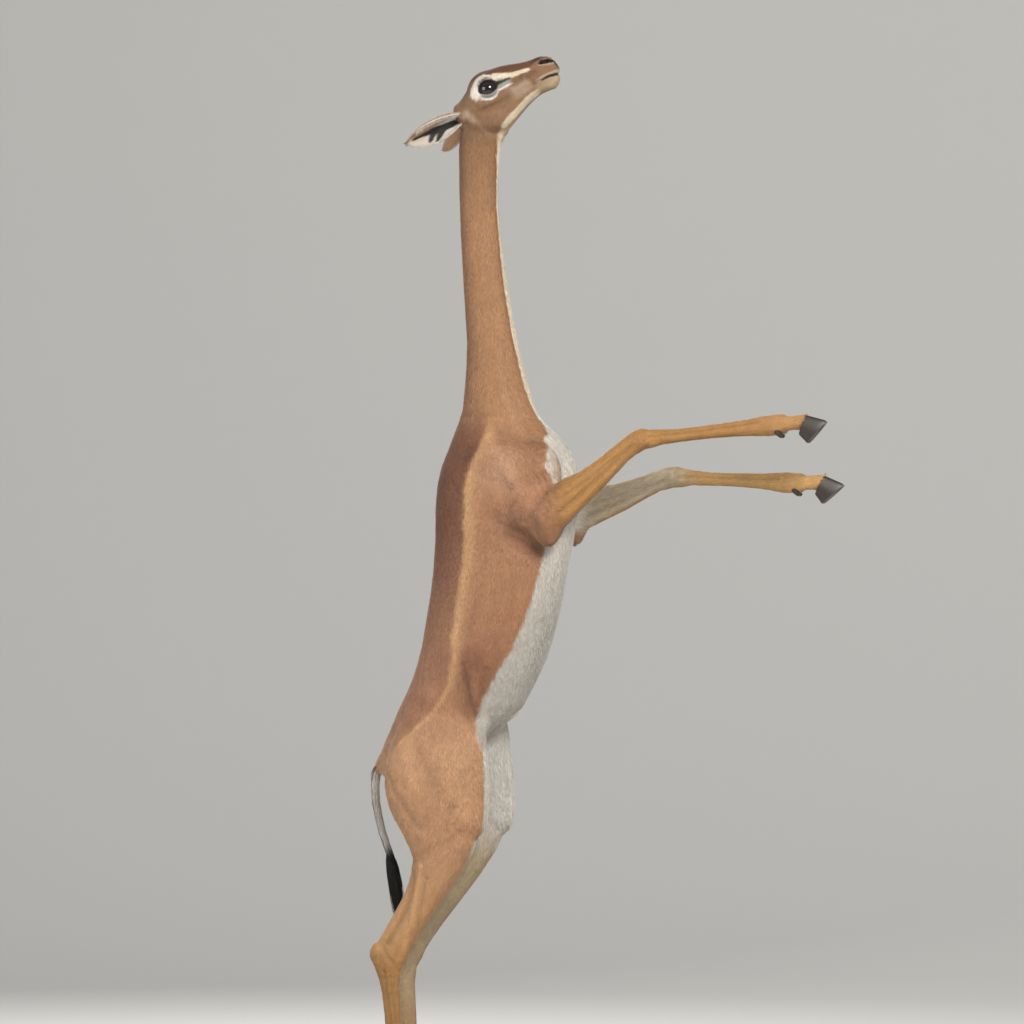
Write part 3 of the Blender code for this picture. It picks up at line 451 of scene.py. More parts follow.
# %% Divide the head finer
def refine(piece, wanted):
    """Divides each face whose corners are all wanted, and those round them so that no gap opens."""
    shape = bmesh.new()
    shape.from_mesh(piece.data)
    shape.verts.ensure_lookup_table()
    edges = [edge for edge in shape.edges if wanted[edge.verts[0].index] and wanted[edge.verts[1].index]]
    bmesh.ops.subdivide_edges(shape, edges=edges, cuts=1, smooth=0.6, use_grid_fill=True)
    bmesh.ops.triangulate(shape, faces=[face for face in shape.faces if len(face.verts) > 4])
    shape.to_mesh(piece.data)
    shape.free()


def near_head(points):
    """Which points are on the head, ahead of the cut to the neck."""
    return (points[:, 2] > HEAD_FOOT) & (to_head(points)[:, 0] > HEAD_BACK)


def feature_distance(place):
    """Distance in the head's frame to the nearest of lids, nostril and mouth."""
    eye = np.abs(np.linalg.norm((place - EYE_MIDDLE) * (1, 1.15, 0.4), axis=1) - 0.0165)
    mouth = path_distance(place, MOUTH)[0]
    nostril = path_distance(place, NOSTRIL)[0]
    return np.minimum(np.minimum(eye - 0.003, mouth), nostril - 0.001)


refine(skin, near_head(corners_of(skin)))
points = corners_of(skin)
refine(skin, near_head(points) & (feature_distance(to_head(points)) < 0.008))
print("skin faces", len(skin.data.polygons))

# %% [markdown]
# ## Folds, muscles and features
#
# Through its short hair a gerenuk shows its shoulder blade, ribs, haunch muscles, tendons and folds of
# skin. They could be worked in by hand with a sculpting brush, which never gives the same result
# twice. Here each is a stroke drawn over the side of the animal, as a brush would draw it. It raises
# or lowers the skin along itself, by its height, fading over its width, and acts on both sides.

# %% Strokes over trunk and legs
# Height, width, and places as forward and height above the soles
BODY_STROKES = (
    # the shoulder blade's spine, the triceps' upper edge, the point of the shoulder
    (0.0030, 0.013, ((0.060, 1.420), (0.075, 1.395), (0.092, 1.365), (0.110, 1.340))),
    (-0.0028, 0.012, ((0.070, 1.432), (0.100, 1.432), (0.130, 1.424), (0.160, 1.402))),
    (0.0022, 0.026, ((0.100, 1.350), (0.130, 1.320), (0.160, 1.280))),
    (-0.0030, 0.018, ((0.080, 1.262), (0.110, 1.232), (0.140, 1.212), (0.170, 1.200))),
    (-0.0008, 0.0055, ((0.084, 1.256), (0.118, 1.238), (0.155, 1.222))),
    (-0.0007, 0.0060, ((0.078, 1.232), (0.108, 1.210), (0.145, 1.188))),
    (-0.0022, 0.0032, ((0.172, 1.352), (0.183, 1.334), (0.188, 1.312))),
    (-0.0016, 0.0028, ((0.180, 1.356), (0.192, 1.338), (0.197, 1.318))),
    (-0.0014, 0.0026, ((0.164, 1.346), (0.174, 1.328), (0.179, 1.306))),
    # flank: fold of the stifle, last rib, hollow before the hip
    (-0.0042, 0.008, ((0.012, 0.970), (0.018, 0.930), (0.024, 0.895), (0.034, 0.868))),
    (0.0026, 0.009, ((0.036, 0.950), (0.034, 0.915), (0.036, 0.885))),
    (-0.0030, 0.008, ((0.062, 0.962), (0.052, 0.925), (0.042, 0.890))),
    (-0.0016, 0.026, ((-0.045, 0.985), (-0.030, 0.960), (-0.015, 0.930))),
    (0.0020, 0.018, ((-0.085, 0.915), (-0.060, 0.905), (-0.035, 0.893))),
    (0.0012, 0.012, ((0.070, 1.160), (0.060, 1.100), (0.046, 1.040), (0.030, 1.000))),
    (0.0010, 0.010, ((0.105, 1.160), (0.097, 1.100), (0.084, 1.050), (0.066, 1.005))),
    (0.0010, 0.010, ((0.135, 1.140), (0.128, 1.085), (0.115, 1.040), (0.098, 1.000))),
    # neck: groove of the great vein, and the edge of the neck's muscle at its root
    (-0.0014, 0.0075, ((0.052, 1.920), (0.060, 1.780), (0.072, 1.640), (0.092, 1.520))),
    (-0.0026, 0.0070, ((0.102, 1.505), (0.118, 1.470), (0.142, 1.446), (0.172, 1.430))),
    (0.0016, 0.0090, ((0.088, 1.500), (0.104, 1.462), (0.128, 1.438))),
    # haunch: edges of the great muscles, and the cord above the stifle
    (-0.0026, 0.014, ((-0.100, 0.840), (-0.088, 0.815), (-0.066, 0.776), (-0.040, 0.736))),
    (-0.0022, 0.010, ((-0.146, 0.750), (-0.127, 0.716), (-0.102, 0.682), (-0.078, 0.648))),
    (0.0026, 0.022, ((-0.100, 0.830), (-0.094, 0.780), (-0.080, 0.730))),
    (0.0030, 0.020, ((-0.020, 0.800), (-0.010, 0.760), (0.000, 0.720))),
    (0.0024, 0.010, ((0.020, 0.700), (0.024, 0.680), (0.016, 0.655))),
    (-0.0024, 0.008, ((0.000, 0.690), (-0.012, 0.665), (-0.020, 0.640))),
    # shank: calf edge, tendon of the hock, groove before it, shin
    (-0.0048, 0.0060, ((-0.094, 0.590), (-0.095, 0.545), (-0.102, 0.508), (-0.126, 0.455), (-0.150, 0.415))),
    (0.0030, 0.0055, ((-0.077, 0.570), (-0.089, 0.510), (-0.101, 0.442), (-0.122, 0.382))),
    (-0.0026, 0.0048, ((-0.066, 0.548), (-0.077, 0.500), (-0.089, 0.442), (-0.110, 0.388))),
    (-0.0020, 0.0120, ((-0.078, 0.588), (-0.045, 0.602), (-0.012, 0.620), (0.006, 0.632))),
    (0.0016, 0.0180, ((-0.060, 0.632), (-0.024, 0.648), (0.004, 0.662))),
    (0.0022, 0.0080, ((-0.132, 0.378), (-0.124, 0.368))),
    (0.0020, 0.0080, ((-0.176, 0.410), (-0.172, 0.398))),
    (-0.0022, 0.0060, ((-0.158, 0.405), (-0.150, 0.388), (-0.140, 0.378))),
    # hind cannon: tendons behind the bone
    (-0.0024, 0.004, ((-0.158, 0.360), (-0.151, 0.300), (-0.145, 0.240), (-0.141, 0.180), (-0.137, 0.130))),
    (-0.0016, 0.003, ((-0.146, 0.350), (-0.139, 0.290), (-0.134, 0.230), (-0.131, 0.180))),
)
# On a foreleg: height, width, which bone, and places as share of the bone and height across it
FORELEG_STROKES = (
    # grooves between the muscles of the forearm
    (-0.0034, 0.0045, 1, ((0.12, 0.004), (0.35, 0.004), (0.62, 0.002), (0.90, -0.002))),
    (0.0020, 0.006, 1, ((0.10, 0.020), (0.35, 0.014), (0.65, 0.010))),
    (-0.0024, 0.0035, 1, ((0.25, -0.014), (0.50, -0.009), (0.80, -0.006))),
    # the tendon behind the cannon bone, and the wrist
    (-0.0026, 0.0035, 2, ((0.06, -0.004), (0.35, -0.004), (0.65, -0.005), (0.88, -0.008))),
    (0.0018, 0.0060, 2, ((0.00, -0.008), (0.04, 0.006), (0.08, 0.012))),
)
STROKE_REACH = 0.25  # beyond this distance from its middle no stroke is felt


def raise_along(points, path, height, width):
    """How far each point moves for one stroke."""
    return height * np.exp(-((path_distance(points, path)[0] / width) ** 2))


def sculpt_body(points, normals):
    """The trunk's, haunches' and legs' relief, as a distance along each point's normal."""
    shift = np.zeros(len(points))
    flat = points * (1, 0, 1) - (0, 0, SOLE)
    facing = smooth_step(0.15, 0.6, np.abs(normals[:, 1]))
    sideways = facing * smooth_step(0.030, 0.045, np.abs(points[:, 1]))
    outward = normals[:, 1] * np.sign(points[:, 1]) > 0
    for height, width, places in BODY_STROKES:
        path = np.array([(x, 0.0, z) for x, z in places])
        chosen = outward & (np.abs(flat - path.mean(axis=0)).max(axis=1) < STROKE_REACH)
        shift[chosen] += raise_along(flat[chosen], path, height, width) * sideways[chosen]
    for side in (RIGHT, LEFT):
        legs = leg_points(side)[1]
        chosen = (points[:, 1] * side > 0.03) & (points[:, 0] > 0.19)
        for height, width, bone, places in FORELEG_STROKES:
            start, end = legs[bone], legs[bone + 1]
            across = np.cross((end - start) / np.linalg.norm(end - start), (0, 1.0, 0)) * -1
            path = np.array([start + (end - start) * share + across * out for share, out in places])
            moved = raise_along(points[chosen] * (1, 0, 1), path * (1, 0, 1), height, width)
            shift[chosen] += moved * sideways[chosen]
    return shift


# %% Strokes over the head
# The filled corner between the jaw and the neck's front, in the head's frame
THROAT = tuple(tuple(place) for place in to_head(np.array(((0.070, 0.0, 2.072), (0.066, 0.0, 2.063)))))
# Height, width, and places in the head's frame
HEAD_STROKES = (
    # the brow over the eye, and the groove ahead of it
    (
        0.0018, 0.0070,
        ((-0.030, 0.028, 0.022), (-0.006, 0.036, 0.028), (0.018, 0.034, 0.028), (0.036, 0.026, 0.025)),
    ),
    (-0.0016, 0.0060, ((0.032, 0.004, 0.030), (0.050, -0.004, 0.028), (0.070, -0.008, 0.024))),
    # the cheek bone, and the hollow between it and the jaw
    (
        0.0014, 0.0080,
        ((-0.040, -0.020, 0.036), (-0.010, -0.024, 0.036), (0.020, -0.025, 0.032), (0.046, -0.022, 0.026)),
    ),
    (-0.0020, 0.0090, ((-0.020, -0.036, 0.034), (0.010, -0.038, 0.030), (0.038, -0.036, 0.024))),
    # behind the mouth's corner, the upper lip, the back of the jaw, under the eye, the throat
    (-0.0012, 0.0050, ((0.088, -0.028, 0.020), (0.082, -0.020, 0.022), (0.084, -0.010, 0.022))),
    (0.0010, 0.0050, ((0.096, -0.027, 0.020), (0.110, -0.028, 0.019), (0.124, -0.028, 0.017))),
    (-0.0014, 0.0060, ((-0.044, -0.040, 0.034), (-0.040, -0.055, 0.032), (-0.036, -0.072, 0.028))),
    (0.0012, 0.0045, ((-0.024, -0.018, 0.040), (-0.016, -0.024, 0.040), (0.004, -0.027, 0.038))),
    (0.0062, 0.0095, THROAT),
)


# %% [markdown]
# ## Lids, nostrils and mouth
#
# The lids are skin wrapped over the eyeball, the lips meet in a dark groove, and the nostrils are
# slits with a raised rim. Each could be cut with a Boolean, which leaves a hard edge. Here the finely
# divided skin is moved instead: pushed in along the mouth's and the nostrils' paths and raised beside
# them, and set on a ball just over the eyeball where the lids are.


# %% Lids, nostrils and mouth
def lid_axes():
    """Directions along the lids and upright, square to the gaze, in the head's frame."""
    across = normalised(LID_LINE - EYE_GAZE * (LID_LINE @ EYE_GAZE))
    return across, np.cross(EYE_GAZE, across)


def lid_share(place):
    """1 on the lids' edge, less inside the opening of the eye and more outside it, and the reach."""
    away = place - EYE_MIDDLE
    reach = np.linalg.norm(away, axis=1)
    across, upright = lid_axes()
    long = away @ across / (LID_LENGTH / 2)
    tall = away @ upright / (LID_HEIGHT / 2)
    tall = tall + 0.10 * long - 0.08
    tall = tall * (1 + 0.30 * np.clip(long, 0, 1.2) ** 3 + 0.10 * np.clip(-long, 0, 1.2) ** 3)
    return np.where(away @ EYE_GAZE > 0.002, np.hypot(long, tall), 9.0), reach


def pit_distance(place, path, depth):
    """Distance to a path on the skin, or to the floor of the pit or groove under it."""
    floor = path - normalised(np.array((0.0, 0.25, 1.0))) * depth
    return np.minimum(path_distance(place, path)[0], path_distance(place, floor)[0])


LID_THICKNESS, LID_SINK = 0.0020, 0.0050  # the skin over the eyeball, and how far it goes in behind the lids


def sculpt_head(points, normals):
    """The head's relief, and the lids, nostrils and mouth."""
    place = to_head(points)
    shift = np.zeros(len(points))
    for height, width, path in HEAD_STROKES:
        shift += raise_along(place, np.array(path), height, width)
    # The groove between the lips, and the lips' fullness beside it
    mouth = path_distance(place, MOUTH)[0]
    shift -= 0.0042 * np.exp(-((mouth / 0.0017) ** 2))
    shift += 0.0011 * np.exp(-(((mouth - 0.0046) / 0.0022) ** 2))
    # The nostril's pit, and its raised rim
    nostril = path_distance(place, NOSTRIL)[0]
    shift -= 0.0070 * np.exp(-((nostril / 0.0030) ** 4))
    shift += 0.0012 * np.exp(-(((nostril - 0.0052) / 0.0020) ** 2))
    moved = points + normals * shift[:, None]
    # The lids lie on a ball just over the eyeball, and inside their edge the skin goes in behind it
    side = np.sign(moved[:, 1])
    place = to_head(moved)
    share, reach = lid_share(place)
    lid = smooth_step(1.55, 1.18, share) * (reach < 0.030)
    wanted = EYE_RADIUS + LID_THICKNESS - LID_SINK * smooth_step(1.05, 0.93, share)
    new_reach = reach * (1 - lid) + wanted * lid
    lidded = EYE_MIDDLE + (place - EYE_MIDDLE) * (new_reach / np.maximum(reach, 1e-9))[:, None]
    back = from_head(lidded, 1.0)
    back[:, 1] = lidded[:, 2] * side
    return np.where((lid > 0)[:, None], back, moved)


# %% Work the relief into the skin
COAT_DEPTH = 0.0020  # where it is deepest


def coat_depth(points):
    """How deep the coat is, which is how far the skin lies inside the solids."""
    head = smooth_step(1.96, 2.06, points[:, 2] - SOLE)
    fore = smooth_step(0.24, 0.36, points[:, 0]) * (points[:, 2] < 1.7)
    hind = smooth_step(0.60, 0.42, points[:, 2] - SOLE)
    thin = np.maximum(np.maximum(0.6 * head, fore), hind)
    return COAT_DEPTH * (1 - 0.80 * thin)


points, normals = corners_of(skin), normals_of(skin)
points = points + normals * (sculpt_body(points, normals) - coat_depth(points))[:, None]
set_corners(skin, points)
points, normals = corners_of(skin), normals_of(skin)
head = near_head(points)
points[head] = sculpt_head(points[head], normals[head])
set_corners(skin, points)
print("corners in the head", int(head.sum()))

# %% Thin the even places
# One piece holds up to 200,000 triangles, so even places are thinned, and lids, nostrils and mouth kept
BODY_TRIANGLES = 180000
points = corners_of(skin)
thinned = np.where(near_head(points), smooth_step(0.003, 0.012, feature_distance(to_head(points))), 1.0)
skin.data.calc_loop_triangles()
share_kept = BODY_TRIANGLES / len(skin.data.loop_triangles)
modify(
    skin, "DECIMATE", vertex_group=weigh(skin, "thinned", thinned), ratio=share_kept,
    use_collapse_triangulate=True,
)
apply_modifiers(skin)
skin.vertex_groups.clear()
print("skin triangles", len(skin.data.polygons))

# %% [markdown]
# ## Ears
#
# A gerenuk's ear is a thin leaf of skin rolled into a cup. The solid's wall is thicker, so that it can
# be made and held. A curve could be swept along it, but a grid of places computed from the ear's own
# rows gives a finer wall, a folded inner edge near its root and ridges along its inside. The two grids,
# outer and inner, are closed at the rim and joined to the skin.


# %% Places on an ear
def ear_frame(side):
    """The ear's origin, and its directions along it, out of its opening, and across it."""
    root = from_head(EAR_ROOT, side)[0]
    along = normalised(EAR_TIPS[side] - root)
    opening = np.array((0.15, side * 0.80, -0.58))
    opening = normalised(opening - along * (along @ opening))
    return root, along, opening, np.cross(along, opening)


def ear_size(share):
    """Half width and depth of the cup at shares of its length."""
    width = np.interp(share, EAR_ROWS[:, 0], EAR_ROWS[:, 1]) * EAR_WIDTH / 2
    return width, np.interp(share, EAR_ROWS[:, 0], EAR_ROWS[:, 2])


def ear_points(side, share, turn, lift=0.0):
    """Places on the ear's wall: share of its length, turn round its cup in radians, lift inwards."""
    root, along, opening, across = ear_frame(side)
    width, depth = ear_size(share)
    wide = np.sin(turn) / EAR_WIDEST * (width - lift) + side * EAR_SAG * np.sin(share * math.pi)
    sunk = -np.cos(turn) * (depth - lift)
    ridge = 0.0006 * np.exp(-(((share - 0.45) / 0.28) ** 2)) * (1 + np.cos(turn * 7.0))
    sunk = sunk + np.where(lift > 0, ridge, 0.0)
    places = root + along * (share * EAR_LENGTH)[..., None]
    return places + opening * sunk[..., None] + across * wide[..., None]


# %% Make the ears and join them to the skin
EAR_ROWS_AROUND, EAR_COLUMNS = 44, 34
EAR_TURN = 104  # degrees round the cup, either way


def make_ear(side, rows, columns):
    """Corners and faces of one ear: its outer wall, its inner wall and the rim between them."""
    share = np.linspace(0.0, 1.0, rows) ** 0.9
    turn = np.radians(np.linspace(-EAR_TURN, EAR_TURN, columns))
    share, turn = np.meshgrid(share, turn, indexing="ij")
    outer = ear_points(side, share, turn)
    inner = ear_points(side, share, turn, EAR_WALL * (1 - 0.5 * share))
    points = np.concatenate([outer.reshape(-1, 3), inner.reshape(-1, 3)])
    grid = np.arange(rows * columns).reshape(rows, columns)
    quads = np.stack([grid[:-1, :-1], grid[:-1, 1:], grid[1:, 1:], grid[1:, :-1]], axis=-1).reshape(-1, 4)
    below = quads[:, ::-1] + rows * columns
    rim = np.concatenate([grid[0, :], grid[1:, -1], grid[-1, -2::-1], grid[-2:0:-1, 0]])
    after = np.roll(rim, -1)
    wall = np.stack([after, rim, rim + rows * columns, after + rows * columns], axis=-1)
    faces = np.concatenate([quads, below, wall])
    return points, faces[:, ::-1]


def join_into(piece, points, faces):
    """Adds more skin to the piece's own mesh."""
    other = mesh_object("more", points, faces)
    shape = bmesh.new()
    shape.from_mesh(piece.data)
    shape.from_mesh(other.data)
    shape.to_mesh(piece.data)
    shape.free()
    bpy.data.objects.remove(other)


skin_corners = len(skin.data.vertices)
for side in (RIGHT, LEFT):
    join_into(skin, *make_ear(side, EAR_ROWS_AROUND, EAR_COLUMNS))
shape = bmesh.new()
shape.from_mesh(skin.data)
bmesh.ops.triangulate(shape, faces=shape.faces)
shape.to_mesh(skin.data)
shape.free()
# Each ear's corners are its outer wall's and then its inner wall's
ear_corner = np.arange(len(skin.data.vertices)) - skin_corners
inner_corner = (ear_corner >= 0) & (ear_corner // (EAR_ROWS_AROUND * EAR_COLUMNS) % 2 == 1)
print("skin triangles with ears", len(skin.data.polygons))

# %% [markdown]
# ## Which way the hair lies
#
# Hair lies from the nose back to the crown, down the neck and the trunk, and down each leg to its
# hoof. It could be combed by hand over the whole body. Here the bones lead it: each length of the body
# pulls the hair near it along its own way, the nearer the stronger, and a slow noise stirs it.


# %% The lie of the hair
def flow_paths():
    """Paths that hair follows, each with the flesh's radius round it."""
    nose = from_head(((0.140, -0.020, 0.0), (0.060, -0.010, 0.0), (-0.060, -0.020, 0.0)), 1)
    neck = above_soles(
        (0.020, 0, 2.06), (0.020, 0, 1.90), (0.032, 0, 1.72), (0.050, 0, 1.56), (0.070, 0, 1.46)
    )
    trunk = above_soles(
        (0.075, 0, 1.40), (0.072, 0, 1.25), (0.050, 0, 1.08), (0.015, 0, 0.94), (-0.045, 0, 0.84),
        (-0.100, 0, 0.74),
    )
    paths = [(nose, 0.035), (neck, 0.045), (trunk, 0.105), (TAIL, 0.010)]
    for side in (RIGHT, LEFT):
        hind, fore = leg_points(side)
        paths += [(hind[:2], 0.060), (hind[1:3], 0.035), (hind[2:], 0.020)]
        paths += [(fore[:2], 0.040), (fore[1:3], 0.030), (fore[2:], 0.017)]
    return paths


def lie_of_hair(points, normals):
    """The direction of the hair at each point, along the surface."""
    total = np.zeros_like(points)
    for path, radius in flow_paths():
        reach, _, heading = path_distance(points, path)
        total += heading / (reach / radius + 0.15)[:, None] ** 5
    for side in (RIGHT, LEFT):
        root, along = ear_frame(side)[:2]
        share = (points - root) @ along / EAR_LENGTH
        near = np.linalg.norm(points - root - np.clip(share, 0, 1)[:, None] * along * EAR_LENGTH, axis=1)
        on_ear = (near < 0.036) & (share > 0.10)
        total[on_ear] = along
    total = normalised(total)
    total += 0.16 * np.stack([noise(points, 0.05, seed) for seed in (3, 4, 5)], axis=-1)
    flat = total - normals * np.sum(total * normals, axis=1)[:, None]
    return normalised(flat)

print("body lengths that lead the hair", len(flow_paths()))

# %% [markdown]
# ## Markings
#
# The saddle, the light line under it, the flank and the white belly have edges that run along the
# body, soft over a few millimetres. A photo could be projected on the model, but it shows one side
# only, with its light baked in. Here one function gives the colour at any place, and skin and coat
# both read it. Borders on the trunk are heights with angles round the body, from 0 at the middle of
# the belly to 180 at the spine.

# %% Borders on the trunk
LIGHT_LINE = np.array(
    (
        (0.770, 150), (0.796, 124), (0.814, 112), (0.837, 108), (0.869, 106), (0.898, 103), (0.929, 100),
        (0.945, 101), (0.976, 105), (1.011, 108), (1.057, 111), (1.115, 112), (1.184, 111), (1.288, 114),
        (1.340, 114), (1.380, 111), (1.420, 102), (1.444, 97), (1.480, 95),
    )
)
FLANK_LINE = np.array(
    (
        (0.800, 40), (0.870, 58), (0.900, 62), (0.930, 62), (0.970, 59), (1.000, 56), (1.040, 51),
        (1.080, 49), (1.120, 46), (1.160, 44), (1.200, 42), (1.240, 40), (1.300, 42), (1.336, 50),
        (1.370, 57), (1.400, 50), (1.420, 40), (1.434, 22), (1.448, 13), (1.476, 13), (1.540, 18),
        (1.620, 21), (1.700, 22), (1.780, 18), (1.860, 13), (1.950, 13), (2.010, 22), (2.060, 30),
    )
)
# Painted shade on the neck, whose tan darkens towards the head: height above the soles, and share of the
# light
NECK_SHADE = np.array(
    ((1.840, 1.00), (1.900, 0.92), (1.930, 0.84), (1.960, 0.78), (2.000, 0.72), (2.030, 0.64))
)
print("border points", len(LIGHT_LINE), "and", len(FLANK_LINE))


# %% Colours of trunk and neck
def trunk_angle(points):
    """The angle round trunk or neck, in degrees, from the belly's middle to the spine."""
    height = points[:, 2] - SOLE
    back = np.interp(height, SLICES[:, 0], SLICES[:, 1])
    front = np.interp(height, SLICES[:, 0], SLICES[:, 2])
    half = np.interp(height, SLICES[:, 0], SLICES[:, 3])
    forward = (points[:, 0] - (back + front) / 2) / ((front - back) / 2)
    return np.degrees(np.arctan2(np.abs(points[:, 1]) / half, forward))


# Skin folds that lie in shade: at the flank before the thigh, and behind the elbow
FLANK_FOLD = above_soles((0.030, 0, 0.985), (0.034, 0, 0.950), (0.032, 0, 0.915), (0.034, 0, 0.885))
ELBOW_FOLD = above_soles((0.114, 0, 1.244), (0.134, 0, 1.226), (0.152, 0, 1.210))


def trunk_colour(points):
    """Saddle, light band, flank, haunch, white belly, the neck's tan with its pale throat, and painted shade
    and highlight.
    """
    height = points[:, 2] - SOLE
    flat = points * (1, 0, 1)
    angle = trunk_angle(points) + 1.6 * noise(points, 0.012, 11) + 0.8 * noise(points, 0.004, 12)
    light = np.interp(height, LIGHT_LINE[:, 0], LIGHT_LINE[:, 1])
    belly = np.interp(height, FLANK_LINE[:, 0], FLANK_LINE[:, 1])
    base = mixed(FLANK, NECK_TAN, smooth_step(1.38, 1.50, height))
    # painted shade: the flank darkens towards its lower edge
    base = mixed(base, SADDLE, 0.30 * smooth_step(1.18, 0.98, height))
    haunch = mixed(HAUNCH, FLANK, 0.75 * smooth_step(0.80, 0.90, height))
    base = mixed(base, haunch, smooth_step(0.96, 0.92, height))
    fade = smooth_step(1.53, 1.39, height)
    saddle = smooth_step(light + 1.5, light + 5.0 + 18 * (1 - fade), angle)
    saddle = saddle * fade * smooth_step(0.740, 0.800, height)
    on_haunch = smooth_step(0.955, 0.915, height)
    spread = np.where(angle > light, 3.0 - 0.8 * on_haunch, 8.0 - 5.2 * on_haunch)
    band = np.exp(-(((angle - light) / spread) ** 2))
    band = band * smooth_step(1.475, 1.42, height) * smooth_step(0.78, 0.83, height)
    nape = smooth_step(110, 165, angle) * smooth_step(1.40, 1.54, height)
    brown = mixed(SADDLE_LOW, SADDLE, smooth_step(0.95, 1.30, height + 0.0007 * (angle - 140)))
    colour = mixed(base, brown, saddle)
    colour = mixed(colour, LIGHT_BAND, 0.9 * band)
    colour = mixed(colour, SADDLE, 0.35 * nape)
    # painted shade in the fold before the thigh
    colour = mixed(colour, SADDLE, 0.50 * spot(flat, FLANK_FOLD, 0.010, 0.040))
    # a painted highlight over the shoulder blade
    blade = np.linalg.norm((points - (0.085, 0, 1.365 + SOLE)) * (1 / 0.055, 0, 1 / 0.060), axis=1)
    colour = mixed(colour, SHOULDER_HIGHLIGHT, 0.65 * smooth_step(1.25, 0.2, blade) * (np.abs(points[:, 1]) > 0.03))
    # painted shade in the fold behind the elbow
    colour = mixed(colour, SADDLE, 0.65 * spot(flat, ELBOW_FOLD, 0.005, 0.030))
    # painted shade up the neck, deepest under the head
    colour = colour * np.interp(height, NECK_SHADE[:, 0], NECK_SHADE[:, 1])[:, None]
    edge = np.exp(-(((angle - belly - 6) / 4.0) ** 2)) * smooth_step(1.52, 1.62, height)
    colour = mixed(colour, SADDLE, 0.45 * edge)
    white = smooth_step(belly + 2.2, belly - 2.2, angle) * (belly > 0.5)
    stripe = smooth_step(1.46, 1.50, height)
    # painted shade: the white of the belly is darker lower down
    under = mixed(WHITE_HAIR * 0.66, WHITE_HAIR, smooth_step(0.98, 1.38, height))
    return mixed(colour, mixed(under, CREAM, 0.75 * stripe), white)


# %% Colours of legs and tail
def limb_colour(points, normals, colour):
    """Legs over the trunk's colour: tan outside, pale inside."""
    height = points[:, 2] - SOLE
    for side in (RIGHT, LEFT):
        fore = leg_points(side)[1]
        own = points[:, 1] * side > 0
        inward = -normals[:, 1] * side
        leg = own * smooth_step(0.86, 0.76, height) * (points[:, 0] < 0.25)
        tan = mixed(HAUNCH, SHIN_TAN, smooth_step(0.62, 0.45, height))
        tan = mixed(tan, LEG_TAN * 0.9, smooth_step(0.46, 0.36, height) * 0.8)
        pale = smooth_step(0.00, 0.40, inward + 0.12 * smooth_step(0.5, 0.95, normals[:, 0]))
        pale = pale * smooth_step(0.10, 0.42, height)
        # the pale inside of the leg, with painted shade in its grey
        tan = mixed(tan, mixed(INNER_SHANK, INNER_LEG_SHADED, smooth_step(0.56, 0.68, height)), pale)
        rim = smooth_step(0.84, 0.95, normals[:, 0]) * smooth_step(0.50, 0.62, height)
        tan = mixed(tan, WHITE_HAIR, rim)
        colour = mixed(colour, tan, leg)
        arm = own * smooth_step(0.172, 0.240, points[:, 0] + 0.10 * (height - 1.30)) * (height < 1.60)
        arm = arm * smooth_step(0.045, 0.062, np.abs(points[:, 1]))
        tan = mixed(LEG_TAN, SHIN_TAN, 0.5 * smooth_step(0.55, 0.70, points[:, 0]))
        pale = smooth_step(0.10, 0.60, inward)
        inner = mixed(INNER_SHANK, INNER_LEG_SHADED, 0.15)
        forearm = mixed(INNER_CANNON, inner, smooth_step(0.46, 0.38, points[:, 0]))
        from_wrist = np.linalg.norm(points - fore[2] + (0.006, 0, 0.010), axis=1)
        wrist = smooth_step(0.030, 0.008, from_wrist)
        tan = mixed(tan, SADDLE_LOW * 0.7, 0.45 * wrist)
        colour = mixed(colour, mixed(tan, forearm, pale), arm)
    return colour


def tail_colour(points, colour):
    """The tail over the trunk's colour: white at its sides, brown behind, black at its end."""
    reach, along, _ = path_distance(points, TAIL[1:])
    on_tail = smooth_step(0.020, 0.014, reach) * smooth_step(0.762, 0.742, points[:, 2] - SOLE)
    middle = np.interp(points[:, 2], TAIL[::-1, 2], TAIL[::-1, 0])
    behind = smooth_step(-0.2, 0.6, -(points[:, 0] - middle) / 0.008)
    hair = mixed(WHITE_HAIR, HAUNCH, 0.8 * behind)
    hair = mixed(hair, BLACK_HAIR, smooth_step(0.80, 0.92, along))
    return mixed(colour, hair, on_tail)


# %% Places of the head's markings
# In the head's frame: the lower edge of the dark bridge of the nose, as forward and up
BRIDGE_EDGE = np.array(
    ((0.000, 0.0300), (0.030, 0.0185), (0.060, 0.0040), (0.094, -0.0020), (0.112, 0.0050), (0.145, 0.0020))
)
# The dark tear line from the eye, and the pale brow line over the muzzle, their last axis drawn in
TEAR = np.array(
    ((0.018, 0.0030, 0.0126), (0.033, 0.0012, 0.0111), (0.045, 0.0004, 0.0102), (0.056, -0.0006, 0.0090))
)
BROW = np.array(
    (
        (0.030, 0.0185, 0.0099), (0.044, 0.0110, 0.0090), (0.059, 0.0040, 0.0087), (0.072, 0.0012, 0.0078),
        (0.084, -0.0004, 0.0069), (0.094, -0.0025, 0.0063),
    )
)
UNDER_BROW = ((0.058, -0.0135, 0.027), (0.078, -0.0110, 0.023), (0.101, -0.0115, 0.020))
CHEEK = ((0.056, -0.030, 0.008), (0.072, -0.028, 0.006))
JAW = np.array(
    (
        (0.000, -0.0740, 0.017), (0.0150, -0.0690, 0.016), (0.0430, -0.0615, 0.014),
        (0.0700, -0.0540, 0.013), (0.0950, -0.0510, 0.012),
    )
)
CROWN = ((-0.028, 0.028, 0.0), (-0.044, 0.018, 0.0))
EAR_FOOT = ((-0.053, -0.024, 0.041), (-0.050, -0.034, 0.036))
